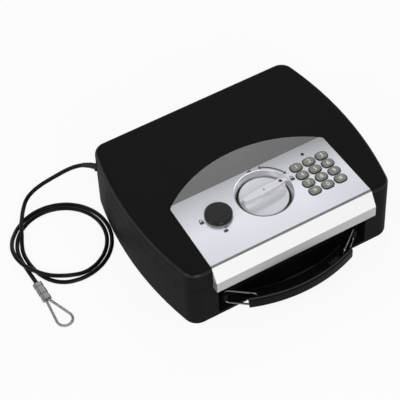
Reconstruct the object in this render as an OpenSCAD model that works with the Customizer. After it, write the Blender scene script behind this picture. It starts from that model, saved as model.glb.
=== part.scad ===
// Portable electronic safe: base, hinged lid, keypad lock, folding carrying grip and tether cable.
// X to the right, Y to the back, Z up. Z = 0 is the surface the feet stand on. Millimetres.

/* [Body] */
// Greatest width, at the middle of the bowed sides
body_w = 280; // [270:1:300]
// Depth of the base and lid
body_d = 220; // [214:1:240]
// How far each side bows outward between its corners
side_bow = 15; // [8:0.5:20]
// Radius of the four upright corners
corner_r = 16; // [14:0.5:24]
// Height of the base from its underside to the seam
base_h = 57.8; // [56:0.1:66]
// Height of the lid from the seam to its top
lid_h = 26.6; // [26.6:0.1:34]
// Thickness of the side walls
wall = 2; // [1.6:0.1:3]
// Thickness of the floor of the base
floor_t = 2; // [1.6:0.1:3]
// Thickness of the top of the lid
lid_t = 2; // [1.6:0.1:3]
// Open line between base and lid
seam_gap = 0.6; // [0.4:0.1:1]
// Rounding of the lid's top edge
lid_edge_r = 5.5; // [3:0.5:7]
// Rounding of the base's bottom edge
base_edge_r = 3; // [1:0.5:4]
// Height of the rim inside the seam
rim_h = 2.6; // [1.5:0.1:3]
// Thickness of the rim inside the seam
rim_t = 2; // [1.6:0.1:2.4]

/* [Feet and mat] */
// How far each foot stands below the base
foot_h = 2; // [1.5:0.1:3]
// Radius of a foot
foot_r = 9; // [6:0.5:12]
// Foot centres in from the greatest width and from the front and back
foot_in = 34; // [30:1:44]
// Thickness of the floor mat
mat_t = 2; // [1:0.1:3]

/* [Finger recess] */
// Width of the recess behind the grip
recess_w = 188; // [180:1:200]
// Depth of the recess
recess_d = 18; // [16:0.5:20]
// Bottom of the recess above the underside of the base
recess_z = 6; // [5:0.5:8]
// Height of the recess
recess_h = 44; // [42:0.5:46]
// Corner radius of the recess in plan
recess_r = 7; // [4:0.5:9]

/* [Fascia] */
// Width of the fascia at the front
fascia_w = 200; // [196:1:206]
// Width of the fascia where its arch begins
fascia_back_w = 195; // [190:1:200]
// Thickness of the fascia
fascia_t = 1.6; // [1.2:0.1:2]
// How far the fascia stands in front of the lid
nose_out = 8.9; // [8:0.1:10]
// Depth of the sloping edge from the ridge to the front, in plan
nose_slope = 10.2; // [9:0.1:12]
// Height of the sloping edge
nose_drop = 17.1; // [14:0.1:18]
// Height of the upright front band
band_h = 14.4; // [12:0.1:15]
// Distance from the middle of the depth forward to the crease where the arch begins
crease_in = 13.7; // [10:0.1:18]
// Radius of the corners where the arch meets the sides
arch_corner_r = 6; // [2:0.5:7]
// How far these corners stand in front of the crease
arch_dip = 3; // [0:0.5:5]
// How far the arch reaches behind its corners
arch_rise = 36.2; // [28:0.2:40]
// Drop of the arched zone at its back end
arch_drop = 0.9; // [0:0.1:1]

/* [Knob] */
// Distance of the knob's axis in front of the middle of the depth
knob_y = 50.4; // [48:0.1:53]
// Radius of the dish's rim
dish_r = 32.8; // [32:0.1:34]
// Radius of the knob
knob_r = 27.4; // [26:0.1:28]
// How far the knob's face lies below the fascia
knob_sink = 5.4; // [4.4:0.1:5.8]
// Height of the grip bar above the knob's face
bar_h = 11.4; // [9:0.1:13]
// Width of the grip bar's top at the middle
bar_w = 10.4; // [8:0.1:12]
// Radius of the knob's shaft
shaft_r = 5; // [4.6:0.1:5.4]
// Angle of the grip bar at rest
knob_rest_a = 3; // [-3:1:6]
// Turn of the knob from locked to unlocked
knob_turn = 80; // [78:1:82]
// Travel of the latch bar over that turn
latch_travel = 8; // [7:0.1:8.6]

/* [Keypad] */
// Radius of the status light
led_r = 1.9; // [1.2:0.1:2.2]
// First key column to the right of the middle
key_x = 48.5; // [48:0.1:50]
// First key row in front of the middle of the depth
key_y = 38.5; // [37:0.1:40]
// Distance between key columns
key_px = 16.4; // [15.8:0.1:16.8]
// Distance between key rows
key_py = 12.8; // [12.6:0.1:13.4]
// Width of a key
key_w = 13; // [11:0.1:13.4]
// Depth of a key
key_d = 10; // [8.4:0.1:10.2]
// Height of a key above the fascia
key_out = 1.9; // [1.4:0.1:2.4]
// Travel of a key
key_stroke = 1.2; // [0.8:0.1:1.2]

/* [Key lock] */
// Distance of the key lock to the left of the middle
lock_x = 57.6; // [54:0.1:60]
// Distance of the key lock in front of the middle of the depth
lock_y = 51.4; // [50:0.1:57]
// Radius of the lock cap
cap_r = 15.4; // [13.2:0.1:16.4]
// Height of the lock cap
cap_h = 5.2; // [4.6:0.1:7.5]
// Radius of the lock housing
housing_r = 9; // [8.6:0.1:9.4]
// Radius of the key plug
plug_r = 5; // [4.4:0.1:5.4]

/* [Grip and links] */
// Distance of each link's hinge from the middle
link_x = 83; // [80:0.5:84]
// Distance of each link's hinge behind the front face, negative in front of it
link_in = 6; // [5:0.5:7]
// Distance of each link's outer bar from the middle
slot_x = 56; // [54:0.5:58]
// Distance of each link's outer bar in front of the front face
slot_out = 15.5; // [14:0.5:17]
// Wire diameter of the links
wire_d = 2.4; // [2:0.1:2.6]
// Height of a link between its wire centres
link_h = 21; // [20:0.5:22]
// Height of the links' middle above the underside of the base
link_z = 20.5; // [19:0.5:22]
// Radius of the grip's outer face in plan
grip_r = 174; // [165:1:185]
// How far the grip's outer face stands in front of the front face
grip_out = 30.8; // [30:0.2:32]
// Thickness of the grip
grip_t = 15.8; // [13:0.2:17]
// Half length of the grip
grip_half = 66; // [64:0.5:70]
// Length of the slots in the grip
slot_len = 27; // [24:0.5:30]

/* [Battery bay] */
// Radius of a battery
battery_r = 7.1; // [6.8:0.05:7.2]
// Length of a battery
battery_l = 50.8; // [48:0.1:52]

/* [Cable] */
// Diameter of the coated cable
cable_d = 4.8; // [4.6:0.1:4.9]
// Radius at the middle of the coil's lanes
coil_r = 50.5; // [49:0.5:50.5]
// Distance between the coil's lanes
coil_pitch = 5.6; // [5.5:0.05:6]
// Length of the ferrule
ferrule_l = 25; // [22:0.5:28]
// Width of the ferrule
ferrule_w = 11; // [9:0.5:12]
// Diameter of the bare wire in the eye
eye_wire_d = 3.2; // [2.8:0.1:3.6]
// Length of the eye from the ferrule to its tip
eye_l = 43; // [40:0.5:46]
// Width of the eye over its wire
eye_w = 21; // [18:0.5:23]

/* [Hidden] */
$fn = 64;

// Small clearances
run = 0.08;      // running fit, on the radius
snug = 0.05;     // screw in its hole, on the radius
free = 0.3;      // pieces that pass each other
over = 1;        // how far a cut runs past a face

// Heights
base_z = foot_h;
floor_z = base_z + floor_t;
seam_z = base_z + base_h;
lid_z = seam_z + seam_gap;
lid_top = lid_z + lid_h;
roof_z = lid_top - lid_t;
fascia_z = lid_top + fascia_t;
front_y = -body_d / 2;
back_y = body_d / 2;

// Plan outline of base and lid
bow_r = (pow(body_d / 2, 2) + pow(side_bow, 2)) / (2 * side_bow);
bow_x = body_w / 2 - bow_r;
corner_y = body_d / 2 - corner_r;
corner_a = asin(corner_y / (bow_r - corner_r));
corner_x = bow_x + (bow_r - corner_r) * cos(corner_a);

function arc(x, y, r, a0, a1, n) =
  [for (i = [0:n]) let (a = a0 + (a1 - a0) * i / n) [x + r * cos(a), y + r * sin(a)]];
function mirrored(p) = [for (i = [len(p) - 1:-1:0]) [-p[i][0], p[i][1]]];
function half_outline(t) = concat(
  arc(corner_x, -corner_y, corner_r - t, -90, -corner_a, 8),
  [for (i = [1:11]) let (a = corner_a * (i / 6 - 1))
    [bow_x + (bow_r - t) * cos(a), (bow_r - t) * sin(a)]],
  arc(corner_x, corner_y, corner_r - t, corner_a, 90, 8));
function outline(t = 0) = let (h = half_outline(t)) concat(h, mirrored(h));
function rounded(w, d, r, n = 6) = concat(
  arc(w / 2 - r, r - d / 2, r, -90, 0, n), arc(w / 2 - r, d / 2 - r, r, 0, 90, n),
  arc(r - w / 2, d / 2 - r, r, 90, 180, n), arc(r - w / 2, r - d / 2, r, 180, 270, n));
function ease(t, a, b) = let (k = min(1, max(0, (t - a) / (b - a)))) k * k * (3 - 2 * k);

// Hinge
hinge_z = seam_z + seam_gap / 2;
hinge_x = 70;
knuckle_r = 3.2;
knuckle_l = 12;
pin_r = 1.5;
leaf_t = 1.5;
leaf_low = 24;
leaf_up = 20;
hinge_screw_dx = 10;

// Strike
strike_w = 28;
strike_y = front_y + recess_d - 10.5;
strike_t = 1.5;
strike_up = 15.6;
recess_top = base_z + recess_z + recess_h + wall;

// Lid interior, counted down from the roof
board_t = 1.6;
mat_pad_t = 1.2;
key_flange_t = 1.2;
key_seat = 0.2;
flange_z = roof_z - key_seat - key_flange_t;
pad_top = flange_z - key_stroke - key_seat;
board_top = pad_top - mat_pad_t;
board_w = 52;
board_d = 76;
board_cx = key_x + key_px + 1.1;
board_cy = 50;
chassis_t = 1.2;
chassis_top = lid_top - 9.8;
chassis_z = chassis_top - chassis_t;
liner_t = 1.6;
liner_z = lid_z + 1.6;
liner_top = liner_z + liner_t;
liner_in = wall + 0.4 + rim_t + 0.6;
chassis_left = -lock_x - 22;
chassis_right = key_x + 5.5;
chassis_front = front_y + 10;
chassis_back = 42.4 - knob_y;
CHASSIS_SCREW_X = [chassis_left + 6, chassis_right - 20];
CHASSIS_SCREW_Y = [chassis_front + 6, chassis_back - 6];
LINER_SCREW_X = [36 - body_w / 2, body_w / 2 - 36];
LINER_SCREW_Y = [front_y + 30, back_y - 26];

// Knob and latch
face_z = fascia_z - knob_sink;
dish_floor_t = 1.5;
dish_floor = face_z - 2.6;
knob_t = 2;
crank_r = latch_travel / (2 * sin(knob_turn / 2));
crank_a = -knob_turn / 2;
crank_pin_r = 1.5;
cam_r = 10;
cam_z = chassis_z - 7;
cam_t = 5.6;
cam_floor = 1;
clip_t = 1;
bar_t = 3;
bar_top = cam_z - 0.5;
bar_z = bar_top - bar_t;
bolt_w = 16;
bolt_gap = 0.5;
guide_wall = 3.7;

// Key lock
cap_cx = -lock_x;
cap_cy = -lock_y;
key_cam_t = 1.7;
plug_z = liner_top + 4.3;
cap_seat = 0.1;
lock_flange_r = cap_r - 1.5;

// Solenoid
plunger_r = 2;
plunger_z = cam_z + 2.25;
plunger_gap = 0.6;
plunger_l = 22;
solenoid_x = 22;

// Battery bay
battery_gap = 0.6;
battery_n = 4;
battery_pitch = 2 * battery_r + battery_gap;
contact_t = 2;
tray_wall = 1.6;
tray_in_w = battery_n * battery_pitch + 0.4;
tray_in_d = battery_l + 2 * contact_t;
tray_x = 90 - body_w / 2;
tray_y = back_y - 61;
battery_z = liner_top + battery_r + 1.9;
tray_top = battery_z + battery_r + 0.3 + 1.5;
door_t = 1.5;
door_over = 4.5;
door_z = liner_z - door_t - 0.2;
door_w = tray_in_w + 2 * door_over;
door_d = tray_in_d + 2 * door_over;
rail_w = 1.6;
door_travel = 40;

// Links and grip
link_y = front_y + link_in;
slot_y = front_y - slot_out;
link_mid = base_z + link_z;
link_len = sqrt(pow(link_x - slot_x, 2) + pow(link_y - slot_y, 2));
link_a = atan2(link_y - slot_y, link_x - slot_x);
link_bend = 4;
lug_screw_dz = 8.5;
grip_cy = front_y - grip_out + grip_r;
slot_r = sqrt(pow(slot_x, 2) + pow(slot_y - grip_cy, 2));
slot_a = asin(slot_x / slot_r);
grip_h = link_h - wire_d - 2;
grip_a = asin(grip_half / grip_r);
grip_edge = 3.4;

// Cable: where it leaves the wall, and the lead's route down to the coil
exit_z = seam_z - 4.4;
grommet_flange = 1.8;
exit_cut = corner_r + grommet_flange;
coil_cx = -193;
coil_cy = 69;
coil_start = 154;
coil_turn = 746;
coil_lift = 5.4;
lead_end_z = 5;
LEAD = [[-130, 111.5, 55.5], [-135, 116, 54.5], [-143, 122.5, 50.5], [-152, 129, 43.5],
  [-161, 135, 35], [-170.5, 140.5, 26.5], [-180, 145, 18.5], [-190, 146.5, 12],
  [-200, 142.5, 9], [-209, 133, 8], [-217, 121, 8], [-223.5, 109.5, 8], [-228, 99.5, 7]];

// Everything is drawn about the middle of the body, then moved so that the
// whole object without its cable is centred on the origin.
front_reach = grip_out - front_y;
back_reach = back_y + knuckle_r;
module place() translate([0, (front_reach - back_reach) / 2, 0]) children();

module prism(points, z0, z1) translate([0, 0, z0]) linear_extrude(z1 - z0) polygon(points);
module rod(r, z0, z1) translate([0, 0, z0]) cylinder(r = r, h = z1 - z0);
module ring(r0, r1, z0, z1) difference() { rod(r1, z0, z1); rod(r0, z0 - over, z1 + over); }
module block(x0, x1, y0, y1, z0, z1) translate([x0, y0, z0]) cube([x1 - x0, y1 - y0, z1 - z0]);
module across(x0, x1, y, z, r) translate([x0, y, z]) rotate([0, 90, 0]) cylinder(r = r, h = x1 - x0);
module inward(x, z, r, y0, y1) translate([x, y0, z]) rotate([-90, 0, 0]) cylinder(r = r, h = y1 - y0);
module side_profile(x0, x1, points)
  translate([x0, 0, 0]) rotate([90, 0, 90]) linear_extrude(x1 - x0) polygon(points);

// A round tube along points, seen as triangles
function tube_points(path, r, n) = [for (i = [0:len(path) - 1])
  let (a = path[max(0, i - 1)], b = path[min(len(path) - 1, i + 1)], d = (b - a) / norm(b - a),
       s = cross(d, [0, 0, 1]) / norm(cross(d, [0, 0, 1])), u = cross(s, d))
  for (k = [0:n - 1]) path[i] + r * (cos(360 * k / n + 30) * s + sin(360 * k / n + 30) * u)];
module tube(path, r, n) {
  m = len(path);
  sides = [for (i = [0:m - 2], k = [0:n - 1], h = [0:1])
    let (a = i * n + k, b = i * n + (k + 1) % n) h == 0 ? [a, b, b + n] : [a, b + n, a + n]];
  caps = [for (k = [1:n - 2], h = [0:1])
    h == 0 ? [0, k + 1, k] : [(m - 1) * n, (m - 1) * n + k, (m - 1) * n + k + 1]];
  polyhedron(tube_points(path, r, n), concat(sides, caps));
}

// Base

module recess_plan(t) translate([0, front_y, 0])
  linear_extrude(1000, center = true) polygon(rounded(recess_w + 2 * t, 2 * (recess_d + t), recess_r + t));

module recess_space(t) intersection() {
  recess_plan(t);
  block(-body_w, body_w, -body_d, 0, t > 0 ? floor_z : base_z + recess_z, recess_top - wall + t);
}

module body_shell() place() color([0.11, 0.11, 0.12]) difference() {
  union() {
    difference() {
      union() {
        prism(outline(), base_z + base_edge_r, seam_z);
        hull() for (i = [0:3]) let (a = 30 * i, z = base_z + base_edge_r)
          prism(outline(base_edge_r * (1 - sin(a))), min(z - base_edge_r * cos(a), z - 0.1), z);
      }
      difference() {
        prism(outline(wall), floor_z, seam_z + over);
        recess_space(wall);
      }
      recess_space(0);
    }
    difference() {
      union() {
        prism(outline(wall - 0.5), seam_z - 5, seam_z);
        prism(outline(wall + 0.4), seam_z - 1, seam_z + rim_h);
      }
      prism(outline(wall + 0.4 + rim_t), seam_z - 6, seam_z + rim_h + over);
      for (s = [-1, 1]) {
        block(s * hinge_x - 19.5, s * hinge_x + 19.5, back_y - 9, back_y - wall, seam_z - 6, lid_top);
      }
      at_exit() rod(5, -1, corner_r - wall);
    }
  }
  for (s = [-1, 1]) {
    across(s * hinge_x - 18.5, s * hinge_x + 18.5, back_y, hinge_z, knuckle_r + 0.4);
    for (d = [-1, 1])
      inward(s * hinge_x + d * hinge_screw_dx, hinge_z - 16, 1.4 + snug, back_y - wall - over, back_y - 0.8);
    for (y = [front_y + foot_in, back_y - foot_in])
      translate([s * (body_w / 2 - foot_in), y, 0]) rod(foot_r / 2 + snug, base_z - over, floor_z + over);
    for (d = [-1, 1])
      inward(s * link_x, link_mid + d * lug_screw_dz, 1.5 + snug, front_y + recess_d - over,
        front_y + recess_d + wall + over);
    translate([s * 9, front_y + recess_d - 5, 0])
      rod(1.5 + snug, recess_top - wall - over, recess_top + over);
  }
  at_exit() rod(4 + snug, corner_r - wall - over, corner_r + over);
}

// The cable's way out, square to the back left corner
module at_exit() translate([-corner_x, corner_y, exit_z]) rotate([0, 0, 135]) rotate([0, 90, 0]) children();

module floor_mat() place() color([0.16, 0.16, 0.17]) difference() {
  prism(outline(wall + 0.5), floor_z, floor_z + mat_t);
  recess_plan(wall + 0.5);
}

module feet() place() color([0.07, 0.07, 0.07])
  for (s = [-1, 1], y = [front_y + foot_in, back_y - foot_in])
    translate([s * (body_w / 2 - foot_in), y, 0]) {
      rod(foot_r, 0, base_z);
      rod(foot_r / 2, base_z, floor_z);
    }

// Two leaves inside the back wall, with two knuckles each
module hinge_base_leaves() place() color([0.55, 0.55, 0.57]) for (s = [-1, 1]) translate([s * hinge_x, 0, 0])
  difference() {
    union() {
      block(-18, 18, back_y - wall - leaf_t, back_y - wall, hinge_z - 2 - leaf_low, hinge_z - knuckle_r - 1);
      for (d = [-1, 1]) translate([d * knuckle_l, 0, 0]) {
        block(-knuckle_l / 2, knuckle_l / 2, back_y - wall - leaf_t, back_y - wall,
          hinge_z - knuckle_r - 1, hinge_z - 0.5);
        block(-knuckle_l / 2, knuckle_l / 2, back_y - wall - leaf_t, back_y, hinge_z - 1.9, hinge_z - 0.5);
        across(-knuckle_l / 2, knuckle_l / 2, back_y, hinge_z, knuckle_r);
      }
    }
    across(-20, 20, back_y, hinge_z, pin_r + snug);
    for (d = [-1, 1])
      inward(d * hinge_screw_dx, hinge_z - 16, 1.4 + snug, back_y - 9, back_y - 1);
  }

module hinge_lid_leaves() place() color([0.55, 0.55, 0.57]) for (s = [-1, 1]) translate([s * hinge_x, 0, 0])
  difference() {
    union() {
      block(-18, 18, back_y - wall - leaf_t, back_y - wall, hinge_z + 3.8, hinge_z + leaf_up);
      block(free - knuckle_l / 2, knuckle_l / 2 - free, back_y - wall - leaf_t, back_y - wall,
        hinge_z + 0.7, hinge_z + 3.8);
      block(free - knuckle_l / 2, knuckle_l / 2 - free, back_y - wall - leaf_t, back_y,
        hinge_z + 0.7, hinge_z + 2);
      across(free - knuckle_l / 2, knuckle_l / 2 - free, back_y, hinge_z, knuckle_r);
    }
    across(-20, 20, back_y, hinge_z, pin_r + run);
    for (d = [-1, 1])
      inward(d * hinge_screw_dx, hinge_z + 12, 1.4 + snug, back_y - 9, back_y - 1);
  }

module hinge_pins() place() color([0.75, 0.75, 0.76]) for (s = [-1, 1])
  across(s * hinge_x - 1.5 * knuckle_l, s * hinge_x + 1.5 * knuckle_l, back_y, hinge_z, pin_r);

module hinge_screws_at(z) for (s = [-1, 1], d = [-1, 1]) {
  inward(s * hinge_x + d * hinge_screw_dx, z, 1.4, back_y - wall - leaf_t, back_y - 0.9);
  inward(s * hinge_x + d * hinge_screw_dx, z, 2.6, back_y - wall - leaf_t - 1.2, back_y - wall - leaf_t);
}
module hinge_base_screws() place() color([0.7, 0.7, 0.72]) hinge_screws_at(hinge_z - 16);
module hinge_lid_screws() place() color([0.7, 0.7, 0.72]) hinge_screws_at(hinge_z + 12);

// Stands on the recess's roof and reaches up into the lid
module strike_plate() place() color([0.6, 0.6, 0.62]) difference() {
  union() {
    block(-strike_w / 2, strike_w / 2, strike_y - strike_t, front_y + recess_d,
      recess_top, recess_top + strike_t);
    block(-strike_w / 2, strike_w / 2, strike_y - strike_t, strike_y, recess_top, recess_top + strike_up);
  }
  block(-bolt_w / 2 - 0.6, bolt_w / 2 + 0.6, strike_y - strike_t - over, strike_y + over,
    bar_z - 0.5, bar_top + 0.5);
  for (s = [-1, 1]) translate([s * 9, front_y + recess_d - 5, 0])
    rod(1.5 + snug, recess_top - over, recess_top + strike_t + over);
}

module strike_screws() place() color([0.7, 0.7, 0.72]) for (s = [-1, 1])
  translate([s * 9, front_y + recess_d - 5, 0]) {
    rod(1.5, recess_top - wall + 0.3, recess_top + strike_t);
    rod(2.8, recess_top + strike_t, recess_top + strike_t + 1.2);
  }

// Lugs that carry the links, screwed on from inside
module handle_brackets() place() color([0.13, 0.13, 0.14]) for (s = [-1, 1]) translate([s * link_x, 0, 0])
  difference() {
    union() {
      block(-4, 4, front_y + recess_d - 3, front_y + recess_d, link_mid - lug_screw_dz - 4,
        link_mid + lug_screw_dz + 4);
      block(-3.4, 3.4, link_y, front_y + recess_d - 3, link_mid - 5, link_mid + 5);
      translate([0, link_y, 0]) rod(3.4, link_mid - 5, link_mid + 5);
    }
    translate([0, link_y, 0]) rod(wire_d / 2 + run, link_mid - 6, link_mid + 6);
    for (d = [-1, 1])
      inward(0, link_mid + d * lug_screw_dz, 1.5 + snug, front_y + recess_d - 4, front_y + recess_d + over);
  }

module bracket_screws() place() color([0.7, 0.7, 0.72]) for (s = [-1, 1], d = [-1, 1]) {
  inward(s * link_x, link_mid + d * lug_screw_dz, 1.5, front_y + recess_d - 2.8, front_y + recess_d + wall);
  inward(s * link_x, link_mid + d * lug_screw_dz, 2.8, front_y + recess_d + wall,
    front_y + recess_d + wall + 1.3);
}

// Cable

module cable_grommet() place() color([0.06, 0.06, 0.06]) at_exit() {
  ring(cable_d / 2 + snug, 4, corner_r - wall, corner_r + 0.02);
  ring(cable_d / 2 + snug, 5.4, corner_r + 0.02, exit_cut);
}

stop_r = 4.4;
module cable_stop() place() color([0.66, 0.66, 0.67]) at_exit() {
  rod(cable_d / 2, 3.6, exit_cut);
  rod(stop_r, 3.6, sqrt(pow(corner_r - wall, 2) - pow(stop_r, 2)) - 0.1);
}

lead_start = [-corner_x - exit_cut * cos(45), corner_y + exit_cut * cos(45), exit_z];
function coil_lane(t) = -1 + 2 * ease(t, 28, 100) - ease(t, 365, 425);
function coil_up(t) = coil_lift * (ease(t, 335, 374) - ease(t, 448, 487))
  + (lead_end_z - cable_d / 2) * (1 - ease(t, 0, 25));
function coil_at(t) = let (r = coil_r + coil_pitch * coil_lane(t), a = coil_start + t)
  [coil_cx + r * cos(a), coil_cy + r * sin(a), cable_d / 2 + coil_up(t)];
ferrule_r = 3.4;
ferrule_y = coil_cy - 37.7;
coil_end = [coil_cx - coil_r, ferrule_y, ferrule_r];
coil_join = coil_at(0) - cable_d * [cos(coil_start + 90), sin(coil_start + 90), -0.18];
coil_steps = 50;
function coil_path(n) = concat([coil_join], [for (i = [0:n]) coil_at(coil_turn * i / n)],
  [for (d = [[27, 0], [18, 0], [11, 0.5], [5, 1]])
    [coil_end[0], ferrule_y + d[0], cable_d / 2 + d[1] * (ferrule_r - cable_d / 2)]], [coil_end]);

// The least gap between parts of the coil that aren't neighbours along it
gap_path = coil_path(300);
gap_skip = 12;
coil_gap = min([for (i = [0:len(gap_path) - 1 - gap_skip], j = [i + gap_skip:len(gap_path) - 1])
  norm(gap_path[i] - gap_path[j])]) - cable_d;
echo(coil_least_gap = coil_gap);
lead_gap = min([for (i = [0:len(LEAD) - 3], j = [10:len(gap_path) - 1])
  norm(LEAD[i] - gap_path[j])]) - cable_d;
echo(lead_to_coil_gap = lead_gap);

module cable_lead() place() color([0.05, 0.05, 0.05])
  tube(concat([lead_start], LEAD, [coil_join]), cable_d / 2, 8);

module cable_coil() place() color([0.05, 0.05, 0.05]) tube(coil_path(coil_steps), cable_d / 2, 6);

// Flat oval sleeve with two crimped waists
module ferrule_part(y0, y1, t) translate([0, -y0, 0]) rotate([90, 0, 0]) linear_extrude(y1 - y0)
  polygon(rounded(ferrule_w - 2 * t, 2 * (ferrule_r - t), ferrule_r - t - 0.1, 8));
module cable_ferrule() place() color([0.72, 0.72, 0.73]) translate(coil_end) {
  ferrule_part(0, ferrule_l, 0.5);
  for (s = [[0, 0.2], [0.36, 0.64], [0.8, 1]]) ferrule_part(s[0] * ferrule_l, s[1] * ferrule_l, 0);
}

// Teardrop of bare wire: two strands that run tangent into a round end
eye_r = eye_wire_d / 2;
eye_bend = eye_w / 2 - eye_r;
eye_c = eye_l - eye_w / 2;
strand_x = eye_r - 0.05;
strand_d = sqrt(pow(eye_c, 2) + pow(strand_x, 2));
strand_l = sqrt(pow(strand_d, 2) - pow(eye_bend, 2));
strand_a = asin(eye_bend / strand_d) - atan(strand_x / eye_c);
module cable_eye() place() color([0.7, 0.7, 0.72])
  translate([coil_end[0], ferrule_y - ferrule_l, ferrule_r]) intersection() {
    rotate([2.4, 0, 8]) union() {
      for (m = [0, 1]) mirror([m, 0, 0]) translate([strand_x, 0, 0]) rotate([90, 0, strand_a])
        translate([0, 0, -3]) cylinder(r = eye_r, h = strand_l + 3);
      translate([0, -eye_c, 0]) rotate([0, 0, 180 - strand_a]) rotate_extrude(angle = 180 + 2 * strand_a)
        translate([eye_bend, 0]) circle(eye_r);
      for (m = [0, 1]) mirror([m, 0, 0])
        translate([eye_bend * cos(strand_a), eye_bend * sin(strand_a) - eye_c, 0]) sphere(eye_r + 0.05);
    }
    block(-30, 30, -60, 0, -10, 10);
  }

// Lid

module key_plan(t) polygon(rounded(key_w + 2 * t, key_d + 2 * t, min(4.4, key_d / 2 - 0.2) + t));
module at_key(i) translate([key_x + (i % 3) * key_px, -key_y - floor(i / 3) * key_py, 0]) children();
led_x = key_x + key_px;
led_y = -key_y + 13.2;

module lid_shell() place() color([0.11, 0.11, 0.12]) difference() {
  union() {
    difference() {
      union() {
        prism(outline(), lid_z, lid_top - lid_edge_r);
        hull() for (i = [0:5]) let (a = 18 * i, z = lid_top - lid_edge_r)
          prism(outline(lid_edge_r * (1 - cos(a))), z, max(z + lid_edge_r * sin(a), z + 0.1));
      }
      prism(outline(wall), lid_z - over, roof_z);
    }
    for (x = LINER_SCREW_X, y = LINER_SCREW_Y) translate([x, y, 0]) rod(4, liner_top, roof_z + 0.5);
    for (x = CHASSIS_SCREW_X, y = CHASSIS_SCREW_Y) translate([x, y, 0]) rod(3.4, chassis_top, roof_z + 0.5);
    for (x = [-1, 1], y = [-1, 1])
      translate([board_cx + x * (board_w / 2 - 3), -board_cy + y * (board_d / 2 - 3), 0])
        rod(2.4, board_top, roof_z + 0.5);
  }
  for (x = LINER_SCREW_X, y = LINER_SCREW_Y) translate([x, y, 0]) rod(1.5 + snug, liner_z, roof_z - 4);
  for (x = CHASSIS_SCREW_X, y = CHASSIS_SCREW_Y) translate([x, y, 0]) rod(1.3 + snug, chassis_z, roof_z);
  translate([0, -knob_y, 0]) rod(dish_r + 0.3, roof_z - over, lid_top + over);
  translate([cap_cx, cap_cy, 0]) rod(housing_r + 0.2, roof_z - over, lid_top + over);
  for (i = [0:11]) at_key(i) translate([0, 0, roof_z - over]) linear_extrude(lid_t + 2 * over) key_plan(free);
  translate([led_x, led_y, 0]) rod(led_r + 0.2, roof_z - over, lid_top + over);
  for (s = [-1, 1]) {
    across(s * hinge_x - 18.5, s * hinge_x + 18.5, back_y, hinge_z, knuckle_r + 0.4);
    for (d = [-1, 1])
      inward(s * hinge_x + d * hinge_screw_dx, hinge_z + 12, 1.4 + snug, back_y - wall - over, back_y - 0.8);
  }
}

crease_y = -crease_in;
arch_half = fascia_back_w / 2;
arch_r = (pow(arch_half, 2) + pow(arch_rise, 2)) / (2 * arch_rise);
arch_a = asin(arch_half / arch_r);
arch_y = crease_y - arch_dip;
arch_turn = 90 - arch_a;
arch_back = arch_corner_r * tan(arch_turn / 2);
arch_skip = asin(arch_back / arch_r);
ridge_y = front_y - nose_out + nose_slope;
nose_y = front_y - nose_out;
nose_z = fascia_z - nose_drop;
band_z = nose_z - band_h;
lip_in = 0.5;

// Plan of the fascia's top, from the ridge back to its arch
function fascia_plan() = concat([[-fascia_w / 2, ridge_y], [fascia_w / 2, ridge_y]],
  arc(arch_half - arch_corner_r, arch_y - arch_back, arch_corner_r, 0, arch_turn, 8),
  arc(0, arch_y + arch_rise - arch_r, arch_r, 90 - arch_a + arch_skip, 90 + arch_a - arch_skip, 32),
  arc(arch_corner_r - arch_half, arch_y - arch_back, arch_corner_r, 180 - arch_turn, 180, 8));

module fascia() place() color([0.78, 0.78, 0.8]) difference() {
  union() {
    prism(fascia_plan(), lid_top, fascia_z);
    side_profile(-fascia_w / 2, fascia_w / 2, [[ridge_y + 0.6, lid_top], [ridge_y + 0.6, fascia_z],
      [ridge_y, fascia_z], [nose_y, nose_z], [nose_y, band_z], [front_y - lip_in, band_z],
      [front_y - lip_in, band_z + fascia_t], [nose_y + fascia_t, band_z + fascia_t],
      [nose_y + fascia_t, nose_z - 0.3], [ridge_y - 0.2, lid_top]]);
    for (s = [-1, 1]) side_profile(s * (fascia_w / 2 - fascia_t / 2) - fascia_t / 2,
      s * (fascia_w / 2 - fascia_t / 2) + fascia_t / 2, [[ridge_y, lid_top], [ridge_y - 0.2, lid_top],
      [nose_y + fascia_t - 0.1, nose_z], [nose_y + fascia_t - 0.1, band_z + 0.2],
      [front_y - lip_in, band_z + 0.2], [front_y - lip_in, lid_top - lid_edge_r],
      [front_y - lip_in + 1.5, lid_top - lid_edge_r / 3], [front_y + 4, lid_top]]);
  }
  block(-fascia_w, fascia_w, ridge_y + 0.5, ridge_y + 1.3, fascia_z - 0.5, fascia_z + over);
  translate([0, crease_y, fascia_z]) rotate([-atan(arch_drop / (arch_y + arch_rise - crease_y)), 0, 0])
    block(-fascia_w, fascia_w, 0, 60, 0, 10);
  translate([0, -knob_y, 0]) rod(dish_r + 0.2, lid_top - over, fascia_z + over);
  translate([cap_cx, cap_cy, 0]) rod(housing_r + 0.2, lid_top - over, fascia_z + over);
  for (i = [0:11]) at_key(i) translate([0, 0, lid_top - over])
    linear_extrude(fascia_t + 2 * over) key_plan(free);
  translate([led_x, led_y, 0]) rod(led_r + 0.2, lid_top - over, fascia_z + over);
}

// Conical dish, with a hub that stands on the chassis
module knob_dish() place() color([0.8, 0.8, 0.82]) translate([0, -knob_y, 0]) rotate_extrude($fn = 128)
  polygon([[shaft_r + run, chassis_top], [shaft_r + 3, chassis_top], [shaft_r + 3, dish_floor - dish_floor_t],
    [dish_r - 3.4, dish_floor - dish_floor_t], [dish_r + 0.1, lid_top - 1.4], [dish_r + 0.1, fascia_z + 0.2],
    [dish_r - 0.6, fascia_z + 0.3], [dish_r - 4.2, dish_floor], [shaft_r + run, dish_floor]]);

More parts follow.
